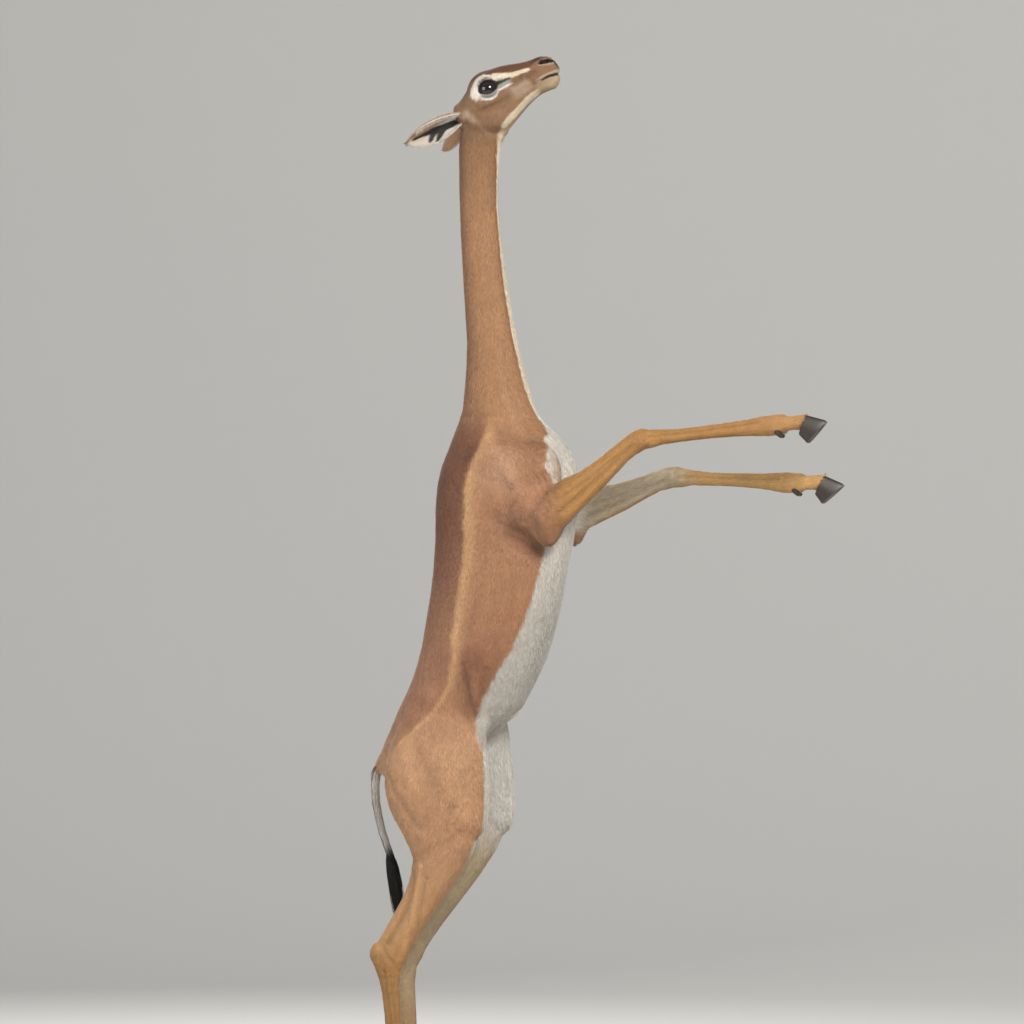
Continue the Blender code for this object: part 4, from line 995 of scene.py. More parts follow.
# In the world, over the neck: the shade under the jaw, and the pale throat
UNDER_JAW = ((0.006, 0, 2.084), (0.018, 0, 2.079), (0.034, 0, 2.076), (0.050, 0, 2.074), (0.064, 0, 2.078))
PALE_THROAT = ((0.0715, 0, 2.071), (0.0660, 0, 2.061), (0.0650, 0, 2.050), (0.0655, 0, 2.040))
DRAWN_IN = (1, 1, 0.3)  # for lines as they are seen from the side, with less heed to how far out a place is


# %% The head's colours
def bridge_and_cheek(face, place, wobble):
    """The dark bridge of the nose, blackish ahead, the pale cheek and the brown under the brow line."""
    forward, up, out = place.T
    bridge_edge = np.interp(forward, BRIDGE_EDGE[:, 0], BRIDGE_EDGE[:, 1])
    top = smooth_step(bridge_edge - 0.0025, bridge_edge + 0.0025, up + wobble)
    top = top * smooth_step(0.040, 0.034, out)
    face = mixed(face, NOSE_BROWN, 0.95 * top * smooth_step(-0.045, -0.010, forward))
    face = mixed(face, NOSE_BROWN * 0.4, 0.8 * top * smooth_step(0.098, 0.116, forward))
    face = mixed(face, CREAM, 0.30 * spot(place * DRAWN_IN, CHEEK, 0.004, 0.022))
    return mixed(face, NOSE_BROWN, 0.55 * spot(place + wobble[:, None], UNDER_BROW, 0.002, 0.0125))


def eye_surround(face, place, points, wobble):
    """The white ring, the shade under the eye, the pale brow line, the black tear line and the lids."""
    forward, up, out = place.T
    share, reach = lid_share(place)
    near_eye = reach < 0.042
    share = share + 0.05 * noise(points, 0.008, 22)
    upper = smooth_step(-0.006, 0.006, up - 0.35 * (forward - 0.006))
    in_view = place * DRAWN_IN
    to_tear = path_distance(in_view, TEAR)[0] + 0.0022 * smooth_step(0.022, 0.056, forward)
    lower_gap = np.minimum((share - 1.10) * 0.0150, to_tear - 0.0046)
    under_eye = smooth_step(0.0125, 0.0100, lower_gap) * smooth_step(0.058, 0.048, forward)
    under_eye = under_eye * smooth_step(-0.020, -0.012, forward)
    lid_shade = mixed(WHITE_HAIR, INNER_LEG_SHADED * 0.42, 0.85 * smooth_step(0.0085, 0.0062, lower_gap))
    face = mixed(face, lid_shade, 0.95 * under_eye * (1 - upper) * (out > 0.012))
    ring = smooth_step(2.30, 2.06, share) * near_eye * upper
    face = mixed(face, mixed(CREAM, WHITE_HAIR, 0.75), ring)
    to_brow = path_distance(in_view + wobble[:, None], BROW)[0] + 0.0014 * smooth_step(0.060, 0.094, forward)
    face = mixed(face, CREAM, 0.88 * smooth_step(0.0066, 0.0036, to_brow) * (out > 0.012))
    face = mixed(face, BLACK_HAIR, 0.96 * smooth_step(0.0052, 0.0038, to_tear) * (out > 0.015))
    edge = 1.05 + 0.10 * upper + 0.22 * smooth_step(0.014, 0.026, forward)
    return mixed(face, BLACK_HAIR, smooth_step(edge + 0.08, edge, share) * near_eye)


def jaw_and_lips(face, place, wobble):
    """The pale line along the jaw, the pale chin and lips, and the dark skin of mouth, nostril and pad."""
    forward, up, out = place.T
    flatter = np.array((1, 1, 0.8))
    jaw = spot(place * flatter + wobble[:, None], JAW * flatter, 0.0050, 0.0085)
    face = mixed(face, CREAM * 0.85, 0.9 * jaw)
    below = smooth_step(-0.050, -0.058, up - 0.33 * forward + 0.027) * smooth_step(0.016, 0.010, out)
    face = mixed(face, CREAM, 0.30 * below * smooth_step(-0.02, 0.01, forward))
    mouth_line = -0.0345 - 0.05 * np.maximum(forward - 0.115, 0)
    chin = smooth_step(mouth_line + 0.001, mouth_line - 0.002, up) * smooth_step(0.082, 0.098, forward)
    chin_colour = mixed(FACE_TAN, INNER_SHANK, 0.45 + 0.35 * smooth_step(0.095, 0.130, forward))
    face = mixed(face, chin_colour, 0.95 * chin)
    upper_lip = smooth_step(0.0090, 0.0050, np.abs(up - mouth_line)) * smooth_step(0.092, 0.104, forward)
    face = mixed(face, CREAM, 0.40 * upper_lip * (up > mouth_line))
    mouth = pit_distance(place, MOUTH, MOUTH_DEPTH)
    thick = 0.45 + 0.55 * smooth_step(0.092, 0.122, forward)
    face = mixed(face, DARK_SKIN, smooth_step(0.0034, 0.0020, mouth / thick))
    nostril = pit_distance(place, NOSTRIL, NOSTRIL_DEPTH) + 0.0022 * smooth_step(0.125, 0.117, forward)
    wing = smooth_step(0.0100, 0.0060, nostril) * smooth_step(0.000, 0.004, -up - 0.001)
    face = mixed(face, CREAM, 0.25 * wing)
    face = mixed(face, DARK_SKIN * 0.6, smooth_step(0.0054, 0.0040, nostril))
    pad = smooth_step(0.0120, 0.0090, np.linalg.norm(place - NOSE_PAD, axis=1) + 0.2 * out)
    return mixed(face, DARK_SKIN, pad)


def head_colour(points, colour):
    """The head over the neck's colour, the painted shadow that it casts on the throat, and the pale throat.
    """
    place = to_head(points)
    wobble = 0.0008 * noise(points, 0.006, 21)
    on_head = smooth_step(2.006, 2.050, points[:, 2] - SOLE + 0.12 * points[:, 0])
    face = np.repeat(FACE_TAN[None], len(points), axis=0)
    face = bridge_and_cheek(face, place, wobble)
    face = eye_surround(face, place, points, wobble)
    face = jaw_and_lips(face, place, wobble)
    face = mixed(face, NOSE_BROWN * 0.50, 0.70 * spot(place * (1, 1, 0.5), CROWN, 0.003, 0.022))
    face = mixed(face, CREAM, 0.26 * spot(place, EAR_FOOT, 0.001, 0.017))
    colour = mixed(colour, face, on_head)
    flat = points * (1, 0, 1)
    # painted shadow of the jaw on the neck
    colour = mixed(colour, SADDLE * 0.62, 0.55 * spot(flat, UNDER_JAW, 0.001, 0.0135) * (place[:, 2] < 0.060))
    return mixed(colour, CREAM * 0.85, 0.60 * spot(flat + wobble[:, None], PALE_THROAT, 0.0005, 0.0085))


# %% Colours of the ears
# Black streaks inside the ear: share of its length and degrees round the cup, and half width
EAR_STREAKS = (
    (((0.03, 62), (0.10, 50), (0.20, 40), (0.36, 26), (0.54, 8), (0.68, 2), (0.83, 5)), 0.42),
    (((0.30, 34), (0.38, 44), (0.44, 60), (0.50, 80)), 0.36),
    (((0.46, 20), (0.53, 34), (0.57, 48), (0.61, 64)), 0.32),
)
EAR_LONG, EAR_ROUND = 6.0, 50.0


def ear_colour(side, share, turn, inside):
    """The ear's own markings: tan back, white inside with black streaks, white edges."""
    degrees = np.degrees(turn) * side
    grey = mixed(EAR_BACK, NOSE_BROWN, 0.35 * smooth_step(0.55, 1.0, share))
    back = mixed(grey, WHITE_HAIR, 0.7 * smooth_step(88, 98, np.abs(degrees)))
    flat = np.stack([share * EAR_LONG, degrees / EAR_ROUND, 0 * share], axis=-1)
    dark = np.zeros(len(share))
    for path, wide in EAR_STREAKS:
        line = np.array([(far * EAR_LONG, angle / EAR_ROUND, 0.0) for far, angle in path])
        reach, along, _ = path_distance(flat, line)
        dark = np.maximum(dark, smooth_step(wide * 1.2, wide * 0.8, reach + wide * 0.5 * along**3))
    pale = mixed(WHITE_HAIR * 0.9, INNER_SHANK, 0.35 * smooth_step(0.3, 0.8, share))
    inner = mixed(pale, BLACK_HAIR * 0.5, 0.98 * dark)
    folded = smooth_step(4, -8, degrees) * smooth_step(0.10, 0.18, share)
    inner = mixed(inner, EAR_BACK * 0.9, 0.85 * folded)
    inner = mixed(inner, BLACK_HAIR, 0.5 * smooth_step(0.90, 0.99, share))
    return np.where(inside[:, None], inner, back)


# %% The coat's colour everywhere
# Painted shade in the relief's grooves and painted light on its ridges: how much darker the coat is for each
# metre of depth
RELIEF_SHADE = 55.0


def coat_colour(points, normals):
    """The colour at each place on the skin, apart from the ears, with painted shade and light on the relief.
    """
    colour = trunk_colour(points)
    colour = limb_colour(points, normals, colour)
    colour = tail_colour(points, colour)
    colour = head_colour(points, colour)
    tone_and_relief_shade = 1 + 0.05 * noise(points, 0.060, 31) + 0.05 * noise(points, 0.016, 32)
    tone_and_relief_shade = tone_and_relief_shade + 0.07 * noise(points * (1, 1, 0.25), 0.0042, 33)
    # painted shade in the grooves of the relief, and painted light on its ridges
    tone_and_relief_shade = tone_and_relief_shade * np.clip(1 + RELIEF_SHADE * sculpt_body(points, normals), 0.72, 1.12)
    return np.clip(colour * tone_and_relief_shade[:, None], 0, 1)


def ear_place(points, side):
    """Where a point lies on one ear: share of its length, and turn round its cup."""
    root, along, opening, across = ear_frame(side)
    away = points - root
    share = away @ along / EAR_LENGTH
    wide = away @ across - side * EAR_SAG * np.sin(np.clip(share, 0, 1) * math.pi)
    width, depth = ear_size(share)
    return share, np.arctan2(wide / width * EAR_WIDEST, -(away @ opening) / depth)


def paint_ears(points, colour, on_ear, inside):
    """Puts the ears' own markings over the coat's colour."""
    for side in (RIGHT, LEFT):
        mine = on_ear & (points[:, 1] * side > 0)
        share, turn = ear_place(points[mine], side)
        colour[mine] = ear_colour(side, share, turn, inside[mine])


def write_colour(mesh, name, colours):
    """A colour attribute from one colour for each corner."""
    layer = mesh.color_attributes.new(name=name, type="FLOAT_COLOR", domain="POINT")
    rows = np.ones((len(colours), 4), np.float32)
    rows[:, :3] = colours
    layer.data.foreach_set("color", rows.ravel())


# %% Paint the skin
SKIN_SHADE = 0.86  # skin and roots, which show between tufts, are darker than tips

points = corners_of(skin)
painted = coat_colour(points, normals_of(skin))
paint_ears(points, painted, np.arange(len(points)) >= skin_corners, inner_corner)
write_colour(skin.data, "coat", painted * SKIN_SHADE)
skin.data.shade_smooth()
print("skin colour on average", painted.mean(axis=0).round(3))

# %% [markdown]
# ## What the materials are
#
# Coat and skin are one look with two finishes. The real coat is short flat hair, a satin that lightens
# at a low angle, and the skin under it is matt. A picture of fur could be wrapped round, but tufts and
# skin have no flat map in common. Their colour comes from the attribute that was painted above, broken
# up by a fine noise on Object coordinates, which holds for any piece.

# %% Make a material and its nodes
def new_material(name, base, roughness, settings=()):
    """A material, its node tree and its surface, with a base colour, a roughness and more settings."""
    material = bpy.data.materials.new(name)
    material.use_nodes = True
    surface = material.node_tree.nodes["Principled BSDF"]
    values = {"Base Color": (*base, 1), "Roughness": roughness, **dict(settings)}
    for setting, value in values.items():
        surface.inputs[setting].default_value = value
    return material, material.node_tree, surface


def add_node(tree, kind, settings=(), links=(), **properties):
    """Adds a node, and gives it its properties, its inputs' values and its links from other outputs."""
    node = tree.nodes.new(kind)
    for name, value in properties.items():
        setattr(node, name, value)
    for name, value in dict(settings).items():
        node.inputs[name].default_value = value
    for name, output in dict(links).items():
        tree.links.new(output, node.inputs[name])
    return node


# %% Skin and coat
def hair_material(name, roughness, sheen, bump):
    """Coat or skin: its own colour attribute, streaked by hairs, which also raise it a little."""
    settings = {"Sheen Weight": sheen, "Sheen Roughness": 0.45, "Specular IOR Level": 0.30}
    material, tree, surface = new_material(name, (0.4, 0.25, 0.15), roughness, settings)
    painted = add_node(tree, "ShaderNodeVertexColor", layer_name="coat")
    place = add_node(tree, "ShaderNodeTexCoord")
    # A hair is 0.1 mm across: drawn ten times coarser, 1.1 mm by 9 mm down the body, so that it shows
    stretch = add_node(
        tree, "ShaderNodeMapping", {"Scale": (1.0, 1.0, 0.12)}, {"Vector": place.outputs["Object"]}
    )
    hairs = add_node(
        tree, "ShaderNodeTexNoise", {"Scale": 900.0, "Detail": 3.0}, {"Vector": stretch.outputs["Vector"]}
    )
    # Light and dark hairs side by side keep the colour from looking like paint
    shade = add_node(
        tree, "ShaderNodeMapRange", {"To Min": 0.82, "To Max": 1.16}, {"Value": hairs.outputs["Fac"]}
    )
    streaked = add_node(
        tree, "ShaderNodeVectorMath", operation="SCALE",
        links={0: painted.outputs["Color"], "Scale": shade.outputs["Result"]},
    )
    raised = add_node(
        tree, "ShaderNodeBump", {"Strength": bump, "Distance": 0.0008}, {"Height": hairs.outputs["Fac"]}
    )
    tree.links.new(streaked.outputs["Vector"], surface.inputs["Base Color"])
    tree.links.new(raised.outputs["Normal"], surface.inputs["Normal"])
    return material


skin_look = hair_material("skin", 0.70, 0.10, 0.5)  # matt: it gives depth between the tufts
coat_look = hair_material("coat", 0.58, 0.18, 0.25)  # satin: the sheen lights the body's edges
skin.data.materials.clear()
skin.data.materials.append(skin_look)
print("materials", skin_look.name, coat_look.name)

# %% [markdown]
# ## The coat
#
# A gerenuk's coat is short, flat and dense. Hair could be grown by a particle system, which leaves no
# solid mesh. Here every tuft is a small closed solid of four faces: broad and low at its root, which is
# sunk in the skin, and pointed at its tip. Tufts are sown over the skin by area, the shorter the
# denser, and laid along the hair's lie. The order of the random draws decides where each one is.


# %% How long the hair is
def tuft_length(points):
    """The visible length of the hair, by place: 10 mm on the trunk, less on head and legs."""
    height = points[:, 2] - SOLE
    length = 0.0100 + 0 * height
    length = length + 0.0025 * smooth_step(70, 20, trunk_angle(points)) * (height < 1.45)
    head = smooth_step(2.00, 2.10, height + 0.3 * points[:, 0])
    length = length * (1 - 0.38 * head)
    length = length * (1 - 0.30 * smooth_step(0.02, 0.12, to_head(points)[:, 0]) * head)
    length = length * (1 - 0.30 * smooth_step(0.62, 0.40, height))
    return length * (1 - 0.32 * smooth_step(0.26, 0.42, points[:, 0]) * (height < 1.7))


# %% Sow the roots
TUFT_COUNT = 300000
EAR_SPACING = 0.0052  # the hair length that the ears' density stands for
random_draw = np.random.default_rng(5)

corners, corner_normals, triangles = corners_of(skin), normals_of(skin), triangles_of(skin.data)
edge_a = corners[triangles[:, 1]] - corners[triangles[:, 0]]
edge_b = corners[triangles[:, 2]] - corners[triangles[:, 0]]
areas = np.linalg.norm(np.cross(edge_a, edge_b), axis=1) / 2
on_ear_face = (triangles >= skin_corners).any(axis=1)
density = areas / tuft_length(corners[triangles].mean(axis=1)) ** 1.6
density[on_ear_face] = areas[on_ear_face] / EAR_SPACING**1.6
chance = np.cumsum(density)
chosen = np.searchsorted(chance, random_draw.random(TUFT_COUNT) * chance[-1])
first, second = random_draw.random(TUFT_COUNT), random_draw.random(TUFT_COUNT)
flip = first + second > 1
first[flip], second[flip] = 1 - first[flip], 1 - second[flip]
weights = np.stack([1 - first - second, first, second], axis=1)
roots = np.einsum("nk,nkc->nc", weights, corners[triangles[chosen]])
root_normals = normalised(np.einsum("nk,nkc->nc", weights, corner_normals[triangles[chosen]]))
ear_root = on_ear_face[chosen]
inner_root = inner_corner[triangles[chosen]].sum(axis=1) >= 2
print("skin area", round(float(areas.sum()), 3), "square metres")

# %% Leave lids, lips, nostrils and nose pad bare
place = to_head(roots)
share, reach = lid_share(place)
on_head = near_head(roots)
bare = (share < 1.20) & (reach < 0.032)
bare |= pit_distance(place, MOUTH, MOUTH_DEPTH) < 0.0024
bare |= pit_distance(place, NOSTRIL, NOSTRIL_DEPTH) < 0.0046
bare |= np.linalg.norm(place - NOSE_PAD, axis=1) < 0.009
kept = ~(bare & on_head)
roots, root_normals, place, on_head = roots[kept], root_normals[kept], place[kept], on_head[kept]
ear_root, inner_root, share, reach = ear_root[kept], inner_root[kept], share[kept], reach[kept]
count = len(roots)
print("tufts", count)

# %% Lengths and colours of the tufts
lie = lie_of_hair(roots, root_normals)
lengths = tuft_length(roots) * (0.75 + 0.5 * random_draw.random(count))
lengths[ear_root] = 0.0060 * (0.7 + 0.6 * random_draw.random(ear_root.sum()))
lengths[(share < 1.7) & (reach < 0.036)] *= 0.5  # round the eye
lengths[on_head & (place[:, 0] > 0.085)] *= 0.62  # on the muzzle
colours = coat_colour(roots, root_normals)
paint_ears(roots, colours, ear_root, inner_root)
print("mean length", round(float(lengths.mean()), 4))

# %% One tuft's four corners
TUFT_SINK = 0.0005  # how far a root is sunk in the skin
TUFT_LEAN = 0.22  # how far the normals of its two sides lean apart


def tuft_arrays(roots, normals, lie, lengths, widths, rise, colours):
    """Corners, normals, colours and faces of tufts, four corners and four faces each."""
    across = np.cross(normals, lie)
    lengths, widths = lengths[:, None], widths[:, None]
    back = roots - normals * TUFT_SINK - lie * lengths * 0.12
    left = back + across * widths * 0.5
    right = back - across * widths * 0.5
    ridge = roots + normals * (0.00035 + 0.25 * rise[:, None] * lengths) + lie * lengths * 0.30
    tip = roots + normals * (rise[:, None] * lengths) + lie * lengths
    places = np.stack([left, right, ridge, tip], axis=1)
    one_side, other_side = normalised(normals + across * TUFT_LEAN), normalised(normals - across * TUFT_LEAN)
    bent = np.stack([one_side, other_side, normals, normalised(normals + lie * 0.15)], axis=1)
    tip_tint = np.clip(colours * 1.08, 0, 1)
    tints = np.stack([colours * 0.84, colours * 0.84, colours * 0.98, tip_tint], axis=1)
    block = np.array(((0, 1, 2), (0, 2, 3), (2, 1, 3), (0, 3, 1)))
    faces = (np.arange(len(roots)) * 4)[:, None, None] + block
    return places.reshape(-1, 3), bent.reshape(-1, 3), tints.reshape(-1, 3), faces.reshape(-1, 3)


# %% A flat place for each root
PATCH = 0.003  # the side of one tuft's patch, as a share of the whole unwrap


def unwrapped(points):
    """A flat place for each root on an unwrap of the body, length by length."""
    paths = [path for path, _ in flow_paths()]
    nearest = np.full(len(points), np.inf)
    flat = np.zeros((len(points), 2))
    for number, path in enumerate(paths):
        reach, along, _ = path_distance(points, path)
        middle = path[0] + (path[-1] - path[0]) * along[:, None]
        main = normalised(path[-1] - path[0])
        east = normalised(np.cross(main, (0.3, 0.1, 0.9)))
        north = np.cross(main, east)
        turn = np.arctan2((points - middle) @ north, (points - middle) @ east) / math.tau + 0.5
        closer = reach < nearest
        nearest[closer] = reach[closer]
        flat[closer, 0] = (number + 0.04 + 0.92 * turn[closer]) / len(paths)
        flat[closer, 1] = 0.01 + 0.97 * along[closer]
    return flat


def write_patches(mesh, faces, flat):
    """The map that a bake reads, from each corner's flat place."""
    layer = mesh.uv_layers.new(name="OFBake")
    write_array(layer.uv, "vector", flat[faces.ravel()])


# %% Make the coat's pieces
def make_coat(name, chosen):
    """One coat piece from the chosen roots."""
    arrays = (roots, root_normals, lie, lengths, widths, rise, colours)
    places, bent, tints, faces = tuft_arrays(*(array[chosen] for array in arrays))
    piece = mesh_object(name, places, faces)
    write_colour(piece.data, "coat", tints)
    patch = np.array(((0.0, 0.0), (PATCH, 0.0), (PATCH / 2, PATCH / 2), (PATCH / 2, PATCH))) - PATCH / 2
    flat = unwrapped(roots[chosen])
    write_patches(piece.data, faces, (flat[:, None, :] + patch).reshape(-1, 2))
    piece.data.shade_smooth()
    held = piece.data.attributes.new("custom_normal", "FLOAT_VECTOR", "POINT")
    write_array(held.data, "vector", bent)
    piece.data.materials.append(coat_look)
    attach(piece, "root")


jitter = np.radians(random_draw.normal(0, 9, count))[:, None]
lie = lie * np.cos(jitter) + np.cross(root_normals, lie) * np.sin(jitter)
widths = lengths * 0.13 * (0.8 + 0.4 * random_draw.random(count)) + 0.0003
rise = 0.075 + 0.045 * random_draw.random(count)
colours = np.clip(colours * (0.80 + 0.36 * random_draw.random(count))[:, None], 0, 1)

height = roots[:, 2] - SOLE
on_arm = (roots[:, 0] > 0.205) & (height < 1.6) & (np.abs(roots[:, 1]) > 0.05)
# Each piece and where it is, the first that fits
ZONES = {
    "coat_ears": ear_root,
    "coat_head": height > 1.99,
    "coat_forelegs": on_arm,
    "coat_neck": height > 1.47,
    "coat_chest": height > 1.20,
    "coat_belly": height > 0.98,
    "coat_haunches": height > 0.76,
    "coat_thighs": height > 0.60,
    "coat_shanks": height > 0.38,
    "coat_hind_feet": height > -1,
}
zone = np.select(list(ZONES.values()), list(range(len(ZONES))))
for number, name in enumerate(ZONES):
    chosen = np.nonzero(zone == number)[0]
    print(name, len(chosen) * 4)
    make_coat(name, chosen)

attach(skin, "root")
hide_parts(*FLESH, *EARS)

# %% [markdown]
# ## Eyes
#
# The eye is large, wet and nearly black, with a level pupil that shows only close by, and the cornea
# stands out a little. A black ball would give the highlight, but look like a bead. So it is a ball whose
# front is raised in a low dome, with a dark iris and an oval pupil in a place attribute of its own.

# %% The eye's measures and frame
PUPIL_LONG, PUPIL_TALL = 0.46, 0.28  # half sizes of the level pupil, in radii of the eyeball
PUPIL_EDGE = 0.4  # where the pupil's edge is on the colour ramp
CORNEA_RISE = 0.0005
CORNEA_WIDE = 0.0120


def from_eye(way, side):
    """A direction of the head's frame, in the world."""
    return from_head(EYE_MIDDLE + way, side)[0] - from_head(EYE_MIDDLE, side)[0]


def eye_frame(side):
    """The eye's middle, and its directions along the lids, upright, and out through the pupil."""
    return from_head(EYE_MIDDLE, side)[0], *(from_eye(way, side) for way in (*lid_axes(), EYE_GAZE))


# %% The eye's material
def eye_material():
    """A near-black brown iris round a wide level pupil, with fine fibres, under a wet cornea."""
    # The coat over the colour is the tear film, which gives the small sharp highlight
    wet = {"Coat Weight": 0.5, "Coat Roughness": 0.02, "Specular IOR Level": 0.35}
    material, tree, surface = new_material("eye", hex_colour("#120B08"), 0.04, wet)
    place = add_node(tree, "ShaderNodeAttribute", attribute_name="eye_place")
    oval = add_node(
        tree, "ShaderNodeVectorMath", {1: (PUPIL_EDGE / PUPIL_LONG, PUPIL_EDGE / PUPIL_TALL, 0.0)},
        {0: place.outputs["Vector"]}, operation="MULTIPLY",
    )
    reach = add_node(
        tree, "ShaderNodeVectorMath", links={0: oval.outputs["Vector"]}, operation="LENGTH"
    )
    rings = add_node(tree, "ShaderNodeValToRGB", links={"Fac": reach.outputs["Value"]})
    ramp = rings.color_ramp.elements
    ramp[0].position, ramp[0].color = 0.36, (*hex_colour("#060404"), 1)
    ramp[1].position, ramp[1].color = 0.95, (*hex_colour("#0D0806"), 1)
    ramp.new(0.46).color = (*hex_colour("#20130C"), 1)
    # The place is in radii of 20 mm, so that the fibres are about 1.4 mm across, coarser than real ones
    fibres = add_node(
        tree, "ShaderNodeTexNoise", {"Scale": 14.0, "Detail": 2.0}, {"Vector": place.outputs["Vector"]}
    )
    shade = add_node(
        tree, "ShaderNodeMapRange", {"To Min": 0.6, "To Max": 1.4}, {"Value": fibres.outputs["Fac"]}
    )
    fibrous = add_node(
        tree, "ShaderNodeVectorMath", operation="SCALE",
        links={0: rings.outputs["Color"], "Scale": shade.outputs["Result"]},
    )
    tree.links.new(fibrous.outputs["Vector"], surface.inputs["Base Color"])
    return material


eye_look = eye_material()
print("material", eye_look.name)


# %% Make the eyeballs
def make_eye(label, side):
    """A ball whose front is raised into the cornea's low dome."""
    middle, across, upright, gaze = eye_frame(side)
    turn = Vector(gaze).to_track_quat("Z", "Y").to_euler()
    bpy.ops.object.select_all(action="DESELECT")
    bpy.ops.mesh.primitive_uv_sphere_add(
        segments=64, ring_count=40, radius=EYE_RADIUS, location=Vector(middle), rotation=turn
    )
    eye = bpy.context.object
    eye.name = eye.data.name = "eyeball_" + label
    bpy.ops.object.transform_apply(location=True, rotation=True, scale=True)
    bpy.ops.object.mode_set(mode="EDIT")
    bpy.ops.mesh.select_all(action="DESELECT")
    bpy.ops.object.mode_set(mode="OBJECT")
    for corner in eye.data.vertices:
        corner.select = (np.array(corner.co) - middle) @ gaze > 0.998 * EYE_RADIUS
    bpy.ops.object.mode_set(mode="EDIT")
    bpy.ops.transform.translate(
        value=Vector(gaze) * CORNEA_RISE, use_proportional_edit=True, proportional_size=CORNEA_WIDE
    )
    bpy.ops.object.mode_set(mode="OBJECT")
    away = (corners_of(eye) - middle) / EYE_RADIUS
    held = eye.data.attributes.new("eye_place", "FLOAT_VECTOR", "POINT")
    write_array(held.data, "vector", np.stack([away @ across, away @ upright, away @ gaze], axis=-1))
    eye.data.materials.append(eye_look)
    eye.data.shade_smooth()
    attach(eye, "root")
    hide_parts("eye_" + label)
    print(eye.name, "faces", len(eye.data.polygons))


for label, side in SIDES.items():
    make_eye(label, side)

# %% [markdown]
# ## Long hairs
#
# The tail ends in a black tuft and has longer hairs at its sides, and loose hairs stand at the end of
# the belly, in the ears and on the lids. Curves with a bevel could make them, one by one. Here a whole
# piece of hairs is computed at once: each hair is a path of places, with a small triangle of corners
# round each place that shrinks towards the tip.

# %% Many hairs as one piece
STRAND_CORNERS = 3


def make_strands(name, paths, radii, roots, tint):
    """One piece of tapered hairs: each path is a row of places, with one radius for each."""
    number, steps = paths.shape[:2]
    heading = normalised(np.gradient(paths, axis=1))
    east = normalised(np.cross(heading, (0.13, 0.97, 0.21)))
    north = np.cross(heading, east)
    turn = np.arange(STRAND_CORNERS) * math.tau / STRAND_CORNERS
    rings = (
        paths[:, :, None, :]
        + east[:, :, None, :] * np.cos(turn)[:, None] * radii[:, :, None, None]
        + north[:, :, None, :] * np.sin(turn)[:, None] * radii[:, :, None, None]
    )
    index = np.arange(number * steps * STRAND_CORNERS).reshape(number, steps, STRAND_CORNERS)
    after = np.roll(index, -1, axis=2)
    quads = np.stack([index[:, :-1], index[:, 1:], after[:, 1:], after[:, :-1]], axis=-1).reshape(-1, 4)
    faces = np.concatenate([quads[:, [0, 1, 2]], quads[:, [0, 2, 3]]])
    owner = np.repeat(np.arange(number), steps * STRAND_CORNERS)
    hair = mesh_object(name, rings.reshape(-1, 3), faces)
    write_colour(hair.data, "coat", np.clip(tint[owner], 0, 1))
    wide = np.tile((0.0, PATCH / 2, PATCH), steps)
    tall = np.repeat(np.linspace(0, 1, steps) * PATCH, STRAND_CORNERS)
    patch = np.tile(np.stack([wide, tall], axis=-1), (number, 1))
    write_patches(hair.data, faces, unwrapped(roots)[owner] + patch)
    hair.data.shade_smooth()
    hair.data.materials.append(coat_look)
    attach(hair, "root")
    print(name, "hairs", number)
    return hair


# %% The tail's black tuft
def make_tail_hair(number=900, steps=7):
    """Long hairs that swell out below the tail's end and meet at a point."""
    draw = np.random.default_rng(17)
    start, along = TAIL[-1], normalised(TAIL[-1] - TAIL[-2])
    down = normalised(along * 0.45 + np.array((0.02, 0.0, -1.0)))
    turn = draw.random(number) * math.tau
    spread = np.sqrt(draw.random(number))
    outward = np.stack([np.cos(turn), np.sin(turn) * 0.8, 0 * turn], axis=-1)
    length = 0.128 * (1 - 0.50 * draw.random(number) * spread)
    root = start - along * (0.014 * draw.random(number))[:, None] + outward * 0.0056
    share = np.linspace(0, 1, steps)
    swell = np.sin(share**0.8 * math.pi * 0.92) * 0.0098
    paths = (
        root[:, None, :]
        + down * (length[:, None] * share)[:, :, None]
        + along * (0.012 * np.sin(share * math.pi))[None, :, None]
        + outward[:, None, :] * (spread[:, None] * swell - 0.0035 * share)[:, :, None]
        + 0.0030 * draw.normal(size=(number, 1, 3)) * (share**2)[None, :, None]
    )
    radii = 0.00042 * (1 - 0.85 * share)[None, :] * (0.7 + 0.6 * draw.random((number, 1)))
    tint = np.repeat(BLACK_HAIR[None] * 1.2, number, axis=0) * (0.6 + 0.8 * draw.random((number, 1)))
    hair = make_strands("tail_hair", paths, radii, root, tint)
    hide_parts("tail_tuft")


make_tail_hair()


